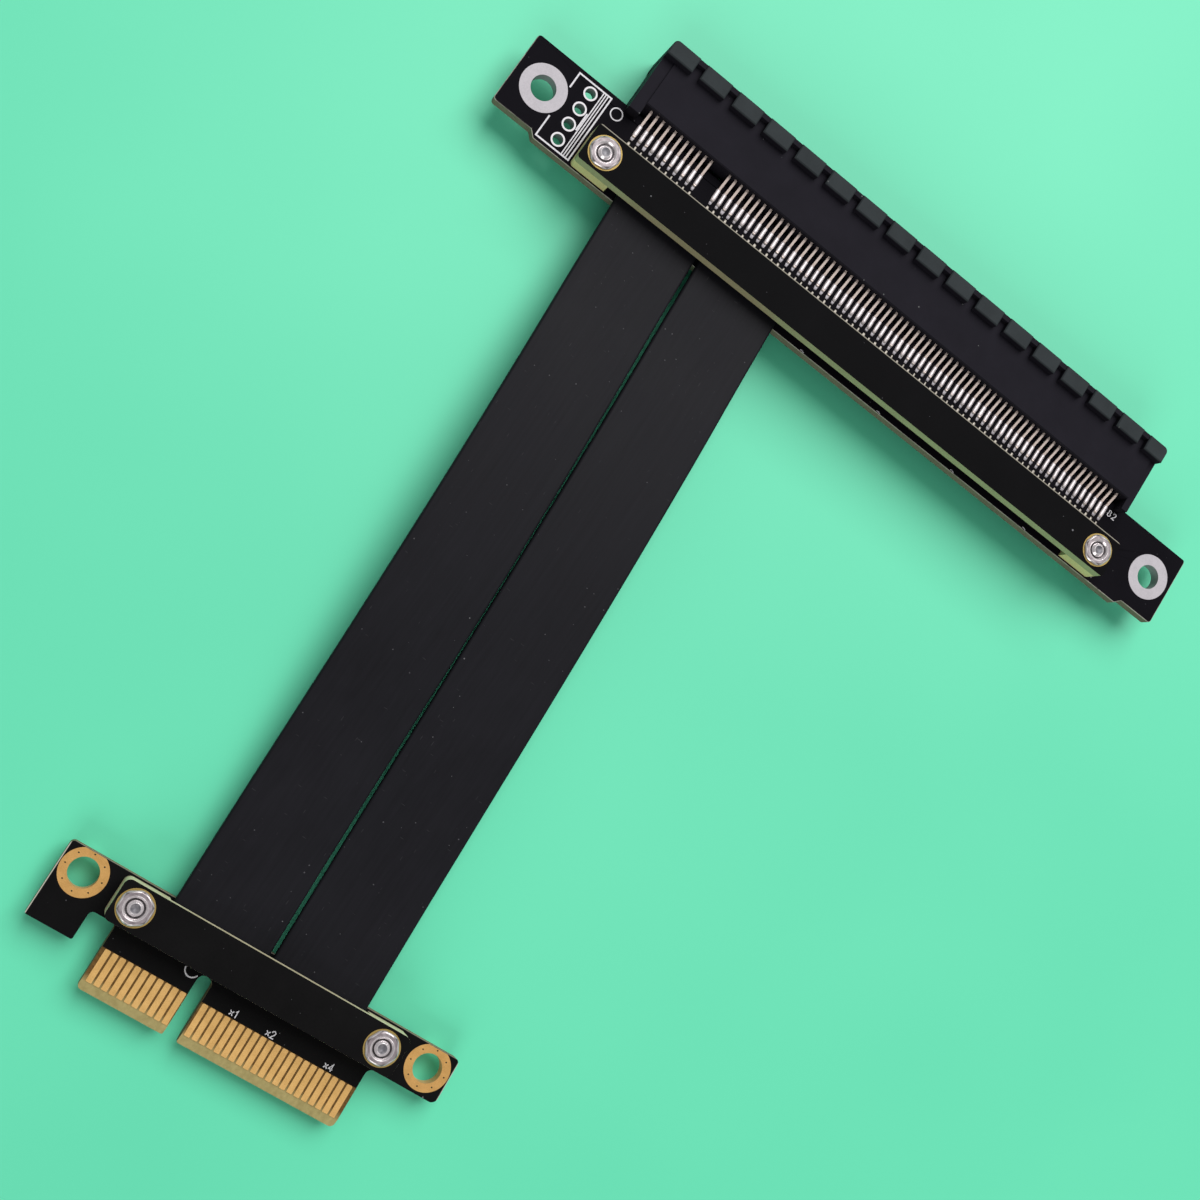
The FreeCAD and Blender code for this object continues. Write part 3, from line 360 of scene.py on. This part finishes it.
def plated(name, low, high, metallic, rough, grain_scale, grain, spots=None, specular=0.5, bore=None, bore_metal=1.0, bore_gloss=0.35):
    """Plated or tinned metal with a fine matt grain; where bore is given, upright faces (the hole walls) take that
    colour.
    """
    m = Mat(name, metallic=metallic, specular=specular)
    tone = m.noise(700.0, 3.0, 0.6)
    fine = m.noise(grain_scale, 3.0, 0.65)
    f = m.math("ADD", m.math("MULTIPLY", tone, 0.45), m.math("MULTIPLY", fine, 0.55))
    base = m.ramp(f, (0.3, low), (0.7, high))
    if spots is not None:
        base = m.mix(m.specks(2200.0, 0.06, 0.10), base, spots)
    rough_map = m.span(f, 0.3, 0.7, rough - 0.07, rough + 0.07)
    if bore is not None:
        wall = m.span(m.upness(), 0.5, 0.3)
        base = m.mix(wall, base, bore)
        m.set("Metallic", m.span(wall, 0.0, 1.0, metallic, bore_metal))
        rough_map = m.math("MULTIPLY", rough_map, m.span(wall, 0.0, 1.0, 1.0, bore_gloss))
    m.set("Base Color", base)
    m.set("Roughness", rough_map)
    m.set("Normal", m.bump(fine, grain, 0.00003))
    return m


gold_mat = plated("gold_plating", (0.65, 0.375, 0.118), (0.86, 0.535, 0.200), 0.38, 0.42, 7000.0, 0.20, (0.46, 0.25, 0.085),
                  specular=0.12)
ring_mat = plated("gold_ring", (0.54, 0.295, 0.088), (0.74, 0.430, 0.150), 0.42, 0.42, 7000.0, 0.20, (0.40, 0.21, 0.07),
                  specular=0.12, bore=(0.72, 0.42, 0.19), bore_metal=0.15, bore_gloss=1.0)
land_mat = plated("gold_land", (0.30, 0.205, 0.055), (0.46, 0.335, 0.115), 0.3, 0.42, 6000.0, 0.15, specular=0.12)
# the tinned land's and eyelets' bore colours are darker than their tops: painted shade inside the holes
tin_mat = plated("tinned_land", (0.42, 0.40, 0.425), (0.55, 0.525, 0.555), 0.04, 0.50, 5200.0, 0.22, specular=0.12,
                 bore=(0.34, 0.34, 0.35), bore_metal=0.3, bore_gloss=0.9)
eyelet_mat = plated("tinned_eyelet", (0.66, 0.64, 0.665), (0.82, 0.80, 0.825), 0.04, 0.48, 5200.0, 0.2, specular=0.12,
                    bore=(0.26, 0.26, 0.27), bore_metal=0.3, bore_gloss=0.9)
lead_mat = plated("tinned_lead", (0.84, 0.68, 0.61), (0.97, 0.83, 0.76), 0.20, 0.38, 6500.0, 0.10, specular=0.3)
solder_mat = plated("solder", (0.50, 0.455, 0.465), (0.82, 0.76, 0.77), 0.42, 0.39, 2600.0, 0.12, specular=0.4)
film_mat = plated("solder_film", (0.20, 0.185, 0.20), (0.34, 0.32, 0.34), 0.4, 0.42, 4200.0, 0.15)
dot_mat = plated("tinned_dot", (0.20, 0.182, 0.155), (0.38, 0.35, 0.30), 0.4, 0.36, 4200.0, 0.18)
wire_mat = plated("tinned_wire", (0.55, 0.45, 0.36), (0.72, 0.62, 0.53), 0.7, 0.36, 6000.0, 0.12)


def turned(name, centres, corners, level):
    """Nickel-plated steel with turning marks round each of two axes; the upper
    end, above level, has painted shade in its hollows and round its rims, which stay bright as painted highlights."""
    m = Mat(name, metallic=0.9, specular=0.2)
    plan = m.vec("MULTIPLY", m.co, (1.0, 1.0, 0.0))
    dist = [m.vec("DISTANCE", plan, (c.x, c.y, 0.0)) for c in centres]
    r = m.math("MULTIPLY", m.math("MINIMUM", dist[0], dist[1]), 1000.0)
    rings = m.math("MULTIPLY_ADD", m.math("SINE", m.math("MULTIPLY", r, 92.0)), 0.5, 0.5)
    # distance from each axis to the side of a hexagon through the point
    hexes = []
    for c, corner, d in zip(centres, corners, dist):
        s = m.nt.nodes.new("ShaderNodeSeparateXYZ")
        m.put(s.inputs[0], m.vec("SUBTRACT", plan, (c.x, c.y, 0.0)))
        turn = m.math("ARCTAN2", s.outputs["Y"], s.outputs["X"])
        turn = m.math("FLOORED_MODULO", m.math("SUBTRACT", turn, math.radians(corner)), math.pi / 3)
        hexes.append(m.math("MULTIPLY", m.math("COSINE", m.math("SUBTRACT", turn, math.pi / 6)), m.math("MULTIPLY", d, 1000.0)))
    first = m.math("LESS_THAN", dist[0], dist[1])
    side = m.math("ADD", m.math("MULTIPLY", hexes[0], first), m.math("MULTIPLY", hexes[1], m.math("SUBTRACT", 1.0, first)))
    rim = m.math("ADD", r, m.math("MULTIPLY", m.math("SUBTRACT", side, r), m.span(r, 1.5, 1.75)))
    worn = m.noise(1100.0, 3.0, 0.6)
    fine = m.noise(5200.0, 3.0, 0.6)
    f = m.math("ADD", m.math("MULTIPLY", worn, 0.6), m.math("MULTIPLY", fine, 0.4))
    base = m.ramp(f, (0.3, (0.70, 0.66, 0.665)), (0.7, (0.94, 0.89, 0.895)))
    # painted shade and highlights: darker rings by radius in the dish, round the screw end and in the countersink; the
    # rims keep the base colour
    tone = m.ramp(m.math("MULTIPLY", rim, 0.4), (0.0, (0.20, 0.21, 0.235)), (0.19, (0.13, 0.135, 0.15)), (0.235, (0.25, 0.255, 0.27)),
                  (0.265, (1.0, 1.0, 1.0)), (0.375, (0.95, 0.95, 0.96)), (0.400, (0.12, 0.115, 0.12)), (0.465, (0.15, 0.145, 0.15)),
                  (0.50, (0.80, 0.78, 0.78)), (0.56, (1.0, 1.0, 1.0)), (0.595, (0.37, 0.34, 0.35)), (0.68, (0.27, 0.245, 0.26)),
                  (0.715, (0.36, 0.33, 0.34)), (0.742, (1.0, 1.0, 1.0)), (0.80, (0.70, 0.66, 0.65)), (0.86, (0.60, 0.55, 0.53)))
    upper = m.span(m.along((0, 0, 1)), level - 0.2, level)
    ring_shade_mask = m.math("MULTIPLY", upper, m.span(m.noise(1700.0, 2.0, 0.5), 0.3, 0.6, 0.8, 1.0))
    m.set("Base Color", m.mix(ring_shade_mask, base, tone, "MULTIPLY"))
    # flats are matt, slopes are bright
    flat = m.span(m.upness(), 0.93, 0.985)
    m.set("Metallic", m.span(flat, 0.0, 1.0, 0.60, 0.30))
    m.set("Roughness", m.math("ADD", m.span(f, 0.3, 0.7, 0.14, 0.24), m.math("MULTIPLY", flat, 0.22)))
    b = m.bump(rings, 0.06, 0.00001)
    m.set("Normal", m.bump(worn, 0.05, 0.00002, b))
    return m


slot_axes = [slot_at(-2.0, -14.6, 0), slot_at(83.5, -14.6, 0)]
edge_axes = [edge_at(-0.35, -0.2, 0), edge_at(33.1, -0.2, 0)]
slot_steel = turned("nickel_slot", slot_axes, (9.0, 5.0), 8.2)
edge_steel = turned("nickel_edge", edge_axes, (32.4, 2.4), 6.3)


def ink():
    m = Mat("marking_ink", roughness=0.6, specular=0.3)
    fine = m.noise(6500.0, 3.0, 0.7)
    m.set("Base Color", m.ramp(fine, (0.3, (0.52, 0.51, 0.54)), (0.62, (0.80, 0.79, 0.82))))
    m.set("Roughness", m.span(fine, 0.3, 0.7, 0.5, 0.7))
    m.set("Normal", m.bump(fine, 0.2, 0.00002))
    return m


ink_mat = ink()


# painted shade: a dark disc at each via stands in for the shaded inside of the hole
def via_shade():
    m = Mat("via_hole", roughness=0.7, specular=0.2)
    fine = m.noise(9000.0, 2.0, 0.6)
    m.set("Base Color", m.ramp(fine, (0.3, (0.010, 0.010, 0.004)), (0.7, (0.035, 0.030, 0.010))))
    m.set("Roughness", m.span(fine, 0.3, 0.7, 0.6, 0.8))
    return m


via_shade_mat = via_shade()

node_look = {
    "slot_board": board_slot_mat, "edge_board": board_edge_mat, "slot_cover": cover_slot_mat, "edge_cover": cover_edge_mat,
    "slot_spacer_left": spacer_slot_mat, "slot_spacer_right": spacer_slot_mat,
    "edge_spacer_left": spacer_edge_mat, "edge_spacer_right": spacer_edge_mat,
    "slot_housing_upper": housing_mat, "slot_housing_lower": housing_mat, "slot_housing_core": housing_mat,
    "slot_contacts_upper": lead_mat, "slot_contacts_lower": lead_mat,
    "slot_mount_rings": tin_mat, "slot_header_eyelets": eyelet_mat,
    "slot_nuts": slot_steel, "slot_screws": slot_steel, "edge_nuts": edge_steel, "edge_screws": edge_steel,
    "slot_nut_lands": land_mat, "edge_nut_lands": land_mat, "edge_mount_rings": ring_mat,
    "ribbon_left_conductors": wire_mat, "ribbon_right_conductors": wire_mat,
    "edge_fingers_upper": gold_mat, "edge_fingers_lower": gold_mat, "ribbon_left": ribbon_mat, "ribbon_right": ribbon_mat,
}
for name, look in node_look.items():
    o = nodes[name]
    o.data.materials.clear()
    o.data.materials.append(look.mat)


def soften(name, width_mm, segments=2, angle=35.0, clamp=True):
    """Broken edges on a CAD node, as a modifier."""
    o = nodes[name]
    w = o.modifiers.new("join", "WELD")
    w.merge_threshold = 1e-6
    b = o.modifiers.new("broken_edges", "BEVEL")
    b.width = width_mm * MM
    b.segments = segments
    b.limit_method = "ANGLE"
    b.angle_limit = math.radians(angle)
    b.use_clamp_overlap = clamp
    b.miter_outer = "MITER_ARC"


soften("slot_board", 0.08, clamp=False)
for name, width in (("edge_board", 0.09), ("slot_cover", 0.06), ("edge_cover", 0.05),
                    ("slot_spacer_left", 0.06), ("slot_spacer_right", 0.06), ("edge_spacer_left", 0.06),
                    ("edge_spacer_right", 0.06), ("slot_contacts_upper", 0.05),
                    ("slot_contacts_lower", 0.05), ("slot_nuts", 0.07), ("edge_nuts", 0.07), ("slot_screws", 0.05),
                    ("edge_screws", 0.05)):
    soften(name, width)


# ------------------------------------------------------------------- meshes
class Build:
    """Collects vertices and faces of one piece, in metres in the row frame."""

    def __init__(self):
        self.verts, self.faces, self.smooth = [], [], []

    def add(self, points, faces, smooth=True):
        base = len(self.verts)
        self.verts.extend(points)
        for f in faces:
            self.faces.append([base + i for i in f])
            self.smooth.append(smooth)

    def piece(self, name, look, slot, body="root"):
        me = bpy.data.meshes.new(name)
        me.from_pydata([tuple(p) for p in self.verts], [], self.faces)
        me.polygons.foreach_set("use_smooth", self.smooth)
        me.update()
        me.materials.append(look.mat)
        o = bpy.data.objects.new(name, me)
        bpy.context.scene.collection.objects.link(o)
        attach(o, body)
        return o


def loft(b, rings, closed_ring=True, caps=True, smooth=True):
    """Skin over rings that all have the same number of points."""
    n = len(rings[0])
    pts = [p for r in rings for p in r]
    faces = []
    for i in range(len(rings) - 1):
        for k in range(n if closed_ring else n - 1):
            a, c = i * n + k, i * n + (k + 1) % n
            faces.append((a, c, c + n, a + n))
    if caps:
        faces.append(tuple(reversed(range(n))))
        faces.append(tuple(range((len(rings) - 1) * n, len(rings) * n)))
    b.add(pts, faces, smooth)


def plate(b, outline, at, z0, z1, smooth=False):
    """Flat plate with a given outline, counter-clockwise, between two heights."""
    n = len(outline)
    low = [at(x, y, z0) for x, y in outline]
    top = [at(x, y, z1) for x, y in outline]
    faces = [tuple(range(n, 2 * n)), tuple(reversed(range(n)))]
    for k in range(n):
        m = (k + 1) % n
        faces.append((k, m, m + n, k + n))
    b.add(low + top, faces, smooth)


def arc(cx, cy, r, a0, a1, n):
    return [(cx + r * math.cos(math.radians(a0 + (a1 - a0) * i / n)), cy + r * math.sin(math.radians(a0 + (a1 - a0) * i / n)))
            for i in range(n + 1)]


def stroke(b, pts, width, at, z0, z1):
    """One printed line through plan points, with square ends."""
    n = len(pts)
    left, rgt = [], []
    for i in range(n):
        p0, p1 = pts[max(i - 1, 0)], pts[min(i + 1, n - 1)]
        d0 = Vector((pts[i][0] - p0[0], pts[i][1] - p0[1]))
        d1 = Vector((p1[0] - pts[i][0], p1[1] - pts[i][1]))
        if d0.length < 1e-9:
            d0 = d1.copy()
        if d1.length < 1e-9:
            d1 = d0.copy()
        d0.normalize()
        d1.normalize()
        mid = (d0 + d1).normalized()
        side = Vector((-mid.y, mid.x))
        reach = 0.5 * width / max(0.4, side.dot(Vector((-d1.y, d1.x))))
        left.append((pts[i][0] + side.x * reach, pts[i][1] + side.y * reach))
        rgt.append((pts[i][0] - side.x * reach, pts[i][1] - side.y * reach))
    # the line as a closed band, one quad for each run
    rings = []
    for a, c in zip(rgt, left):
        rings.append([at(a[0], a[1], z0), at(c[0], c[1], z0), at(c[0], c[1], z1), at(a[0], a[1], z1)])
    loft(b, rings, smooth=False)


# ------------------------------------------------------------------ ribbons
# Route of each ribbon: distance along it and height, in millimetres, with the
# start point and heading; the small third number moves it sideways.
half = 0.55
ribbon_info = (
    ("left", (-26.2144, -57.7699), 2.8443, 108.934, 109.09, 1.0),
    ("right", (-12.7262, -57.2062), 2.8529, 108.3705, 108.52, -1.0))
ribbon_pieces = {}
for side_name, start, heading, run, tube, lean in ribbon_info:
    h = math.radians(heading)
    fwd = Vector((-math.sin(h), math.cos(h), 0))
    across = Vector((math.cos(h), math.sin(h), 0))
    route = [(0, 3.65, 0.0), (11.5, 3.65, 0.0), (27, 4.75, 0.05), (45, 6.25, 0.14), (64, 7.1, 0.16), (82.5, 6.8, 0.08),
             (run - 11.5, 5.55, 0.0), (run, 5.55, 0.0)]
    cu = bpy.data.curves.new("route_" + side_name, "CURVE")
    cu.dimensions = "3D"
    cu.resolution_u = 20
    sp = cu.splines.new("NURBS")
    sp.points.add(len(route) - 1)
    for p, (s, z, off) in zip(sp.points, route):
        w = Vector((start[0], start[1], 0)) + fwd * s + across * (off * lean) + Vector((0, 0, z))
        p.co = (w.x * MM, w.y * MM, w.z * MM, 1.0)
    sp.order_u = 3
    sp.use_endpoint_u = True
    guide = bpy.data.objects.new("route_" + side_name, cu)
    bpy.context.scene.collection.objects.link(guide)
    line = bpy.data.meshes.new_from_object(guide)
    path = [v.co.copy() for v in line.vertices]
    bpy.data.objects.remove(guide)
    bpy.data.meshes.remove(line)

    # cross-section: flat jacket with rolled edges
    wide, thick, roll = 12.95, 1.1, 0.34
    section = []
    for cx, cz, a0 in ((wide / 2 - roll, thick / 2 - roll, 90), (wide / 2 - roll, -thick / 2 + roll, 0),
                       (-wide / 2 + roll, -thick / 2 + roll, -90), (-wide / 2 + roll, thick / 2 - roll, 180)):
        for i in range(7):
            a = math.radians(a0 - 15 * i)
            section.append((cx + roll * math.cos(a), cz + roll * math.sin(a)))
        if a0 == 0:
            section.extend((x, -thick / 2) for x in (4.5, 3.0, 1.5, 0.0, -1.5, -3.0, -4.5))
        if a0 == 180:
            section.extend((x, thick / 2) for x in (-4.5, -3.0, -1.5, 0.0, 1.5, 3.0, 4.5))
    rings = []
    for i, p in enumerate(path):
        t = (path[min(i + 1, len(path) - 1)] - path[max(i - 1, 0)]).normalized()
        s = (across - t * across.dot(t)).normalized()
        n = s.cross(t)
        if n.z < 0:
            n = -n
        rings.append([p + s * (x * MM) + n * (z * MM) for x, z in section])
    b = Build()
    loft(b, rings)
    o = b.piece("ribbon_%s_jacket" % side_name, ribbon_mat, "ribbon_black")
    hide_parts("ribbon_" + side_name)
    ribbon_pieces[side_name] = o

# ------------------------------------------------------------------- solder
contact_places = list(range(0, 11)) + list(range(13, 84))


def solder_bead(b, u, stations, under, lean=0.0):
    """Rounded bead on a pad: stations are (v, width, height)."""
    rings = []
    for v, wide, high in stations:
        ring = []
        for k in range(9):
            a = math.pi * k / 8
            x = 0.5 * wide * math.copysign(abs(math.cos(a)) ** 0.8, math.cos(a))
            z = high * math.sin(a) ** 0.75
            z = -1.6 - z if under else z
            ring.append(slot_at(u + x + lean * (v + 7.5), v, z))
        if under:
            ring.reverse()
        rings.append(ring)
    loft(b, rings)


for under, tag in ((False, "upper"), (True, "lower")):
    feet, films, dots = Build(), Build(), Build()
    for u in contact_places:
        w = rng.uniform(0.92, 1.08)
        hgt = rng.uniform(0.95, 1.08)
        toe = rng.uniform(-0.10, 0.08)
        lean = rng.uniform(-0.014, 0.014)
        du = rng.uniform(-0.015, 0.015)
        solder_bead(feet, u + du, [
            (-6.98, 0.36 * w, 0.10), (-7.06, 0.50 * w, 0.24 * hgt), (-7.22, 0.60 * w, 0.30 * hgt), (-7.55, 0.58 * w, 0.28 * hgt),
            (-8.0, 0.60 * w, 0.26 * hgt), (-8.4 + 0.3 * toe, 0.61 * w, 0.26 * hgt), (-8.7 + toe, 0.55 * w, 0.24 * hgt),
            (-8.94 + toe, 0.45 * w, 0.15 * hgt), (-9.06 + toe, 0.32 * w, 0.03)], under, lean)
        w = rng.uniform(0.85, 1.1)
        at = rng.uniform(-0.06, 0.06)
        solder_bead(films, u + du, [
            (-8.75, 0.46 * w, 0.02), (-8.95, 0.54 * w, 0.05), (-9.2 + at, 0.52 * w, 0.055), (-9.42 + at, 0.42 * w, 0.035),
            (-9.50 + at, 0.28 * w, 0.01)], under)
        w = rng.uniform(0.62, 1.08)
        at = rng.uniform(-0.12, 0.06)
        solder_bead(dots, u + du + rng.uniform(-0.03, 0.03), [
            (-9.70 + at, 0.20 * w, 0.012), (-9.78 + at, 0.34 * w, 0.05), (-10.0 + at, 0.42 * w, 0.085), (-10.3 + at, 0.43 * w, 0.09),
            (-10.7 + at, 0.42 * w, 0.085), (-10.88 + at, 0.34 * w, 0.05), (-10.95 + at, 0.20 * w, 0.012)], under)
    feet.piece("slot_solder_feet_" + tag, solder_mat, "tin")
    films.piece("slot_solder_film_" + tag, film_mat, "tin")
    dots.piece("slot_solder_dots_" + tag, dot_mat, "tin")

# ------------------------------------------------------------------ fingers
finger_places = list(range(0, 11)) + list(range(13, 34))


def rounded_strip(u0, u1, v0, v1, r_low, r_high):
    out = []
    out += arc(u0 + r_low, v0 + r_low, r_low, 180, 270, 5)
    out += arc(u1 - r_low, v0 + r_low, r_low, 270, 360, 5)
    out += arc(u1 - r_high, v1 - r_high, r_high, 0, 90, 5)
    out += arc(u0 + r_high, v1 - r_high, r_high, 90, 180, 5)
    return out


for tag, z0, z1 in (("upper", 0.0, 0.05), ("lower", -1.65, -1.6)):
    b = Build()
    for u in finger_places:
        ragged = rng.uniform(-0.05, 0.05)
        outline = rounded_strip(u - 0.37, u + 0.37, -10.28 + max(ragged, 0.0), -6.08, 0.10, 0.17)
        plate(b, outline, edge_at, z0, z1)
    o = b.piece("edge_fingers_%s_plating" % tag, gold_mat, "gold")
    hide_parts("edge_fingers_" + tag)

# -------------------------------------------------- small vias in the gold rings
rims, via_shade_discs = Build(), Build()
for ring_u in (-7.22, 40.24):
    for k in range(8):
        a = math.radians(45 * k)
        cu_, cv_ = ring_u + 2.4 * math.cos(a), 0.02 + 2.4 * math.sin(a)
        if cv_ > 2.45:
            continue
        for z_face, sign in ((0.05, 1), (-1.65, -1)):
            outer = arc(cu_, cv_, 0.17, 0, 360, 16)[:-1]
            crest = arc(cu_, cv_, 0.135, 0, 360, 16)[:-1]
            inner = arc(cu_, cv_, 0.10, 0, 360, 16)[:-1]
            rings = [[edge_at(x, y, z_face - 0.004 * sign) for x, y in outer], [edge_at(x, y, z_face + 0.012 * sign) for x, y in crest],
                     [edge_at(x, y, z_face + 0.002 * sign) for x, y in inner], [edge_at(x, y, z_face - 0.004 * sign) for x, y in inner]]
            if sign < 0:
                rings = [list(reversed(r)) for r in rings]
            loft(rims, rings + [rings[0]], caps=False)
            # dark disc over the via opening: painted shade for the hole
            disc = arc(cu_, cv_, 0.105, 0, 360, 16)[:-1]
            lo, hi = sorted((z_face - 0.003 * sign, z_face + 0.004 * sign))
            plate(via_shade_discs, disc, edge_at, lo, hi)
rims.piece("edge_ring_via_rims", ring_mat, "gold")
via_shade_discs.piece("edge_ring_via_holes", via_shade_mat, "board_black")

# ------------------------------------------------------------------ markings
INK_LO, INK_HI = 0.0, 0.014


def ellipse(cx, cy, rx, ry, n=18):
    return [(cx + rx * math.sin(2 * math.pi * k / n), cy + ry * math.cos(2 * math.pi * k / n)) for k in range(n + 1)]


def digit(b, which, u, v, size, at, width=0.13):
    """Plain stroke numerals, size is their height."""
    s = size
    shapes = {
        "x": [[(0, 0.08), (0.52, 0.68)], [(0, 0.68), (0.52, 0.08)]],
        "1": [[(0.02, 0.72), (0.24, 0.97), (0.24, 0.0)]],
        "2": [[(0.0, 0.72), (0.06, 0.88), (0.18, 0.98), (0.34, 0.98), (0.48, 0.87), (0.50, 0.70), (0.42, 0.53), (0.20, 0.26),
               (0.02, 0.03), (0.54, 0.03)]],
        "4": [[(0.40, 0.0), (0.40, 0.97), (0.0, 0.28), (0.58, 0.28)]],
        "8": [ellipse(0.29, 0.745, 0.22, 0.225), ellipse(0.29, 0.275, 0.27, 0.255)],
    }
    for pts in shapes[which]:
        stroke(b, [(u + x * s, v + y * s) for x, y in pts], width, at, INK_LO, INK_HI)


b = Build()
L = 0.22
# outline round the header holes, broken at the mounting ring
stroke(b, [(-10.15, -9.05), (-10.15, -6.66), (-5.05, -6.66), (-5.05, -16.93), (-10.15, -16.93), (-10.15, -13.75)], L, slot_at, INK_LO, INK_HI)
for u in (-6.2, -5.87, -5.52):
    stroke(b, [(u, -6.76), (u, -16.83)], 0.16, slot_at, INK_LO, INK_HI)
stroke(b, [(-6.42, -10.4), (-6.42, -13.1)], 0.24, slot_at, INK_LO, INK_HI)
# polarity ring beside the contacts
stroke(b, arc(-3.4, -7.9, 0.82, 0, 360, 40), 0.17, slot_at, INK_LO, INK_HI)
for u in (34.2, 47.6, 60.9, 74.2):
    stroke(b, [(u - 0.35, -17.30), (u, -17.30), (u + 0.3, -17.42)], 0.12, slot_at, INK_LO, INK_HI)
# number of the last contact
digit(b, "8", 83.80, -8.05, 0.92, slot_at, 0.14)
digit(b, "2", 84.68, -8.05, 0.92, slot_at, 0.14)
b.piece("slot_board_marks", ink_mat, "board_black")

b = Build()
stroke(b, arc(9.5, -3.4, 0.9, 180, 340, 20), 0.17, edge_at, INK_LO, INK_HI)


for mark, u in (("1", 15.85), ("2", 20.85), ("4", 28.95)):
    digit(b, "x", u, -5.85, 0.9, edge_at)
    digit(b, mark, u + 0.66, -5.85, 0.9, edge_at)
b.piece("edge_board_marks", ink_mat, "board_black")

# -------------------------------------------------------------------- stage
floor_me = bpy.data.meshes.new("floor")
e = 3.0
floor_me.from_pydata([(-e, -e, -0.00002), (e, -e, -0.00002), (e, e, -0.00002), (-e, e, -0.00002)], [], [(0, 1, 2, 3)])
floor = bpy.data.objects.new("floor", floor_me)
bpy.context.scene.collection.objects.link(floor)
fm = Mat("floor_pale", roughness=0.5, specular=0.5)
fm.set("Base Color", fm.ramp(fm.noise(14.0, 2.0, 0.5), (0.3, (0.112, 0.695, 0.42)), (0.7, (0.128, 0.735, 0.445))))
floor_me.materials.append(fm.mat)

world = bpy.data.worlds.new("studio")
bpy.context.scene.world = world
world.use_nodes = True
bg = world.node_tree.nodes["Background"]
bg.inputs["Color"].default_value = (0.97, 0.98, 1.0, 1.0)
bg.inputs["Strength"].default_value = 0.23


def softbox(name, at, aim, size, power, colour):
    d = bpy.data.lights.new(name, "AREA")
    d.shape = "RECTANGLE"
    d.size, d.size_y = size
    d.energy = power
    d.color = colour
    o = bpy.data.objects.new(name, d)
    o.location = at
    o.rotation_euler = (Vector(aim) - Vector(at)).to_track_quat("-Z", "Y").to_euler()
    bpy.context.scene.collection.objects.link(o)
    return o


softbox("key", (0.09, 0.76, 1.02), (0, 0, 0), (1.1, 1.1), 17.2, (1.0, 0.985, 0.985))
softbox("fill", (0.15, -1.25, 0.85), (0, 0, 0), (0.9, 0.9), 7.6, (1.0, 0.98, 0.98))

view = bpy.context.scene.view_settings
view.view_transform = "Standard"
view.look = "None"
view.exposure = 0.0
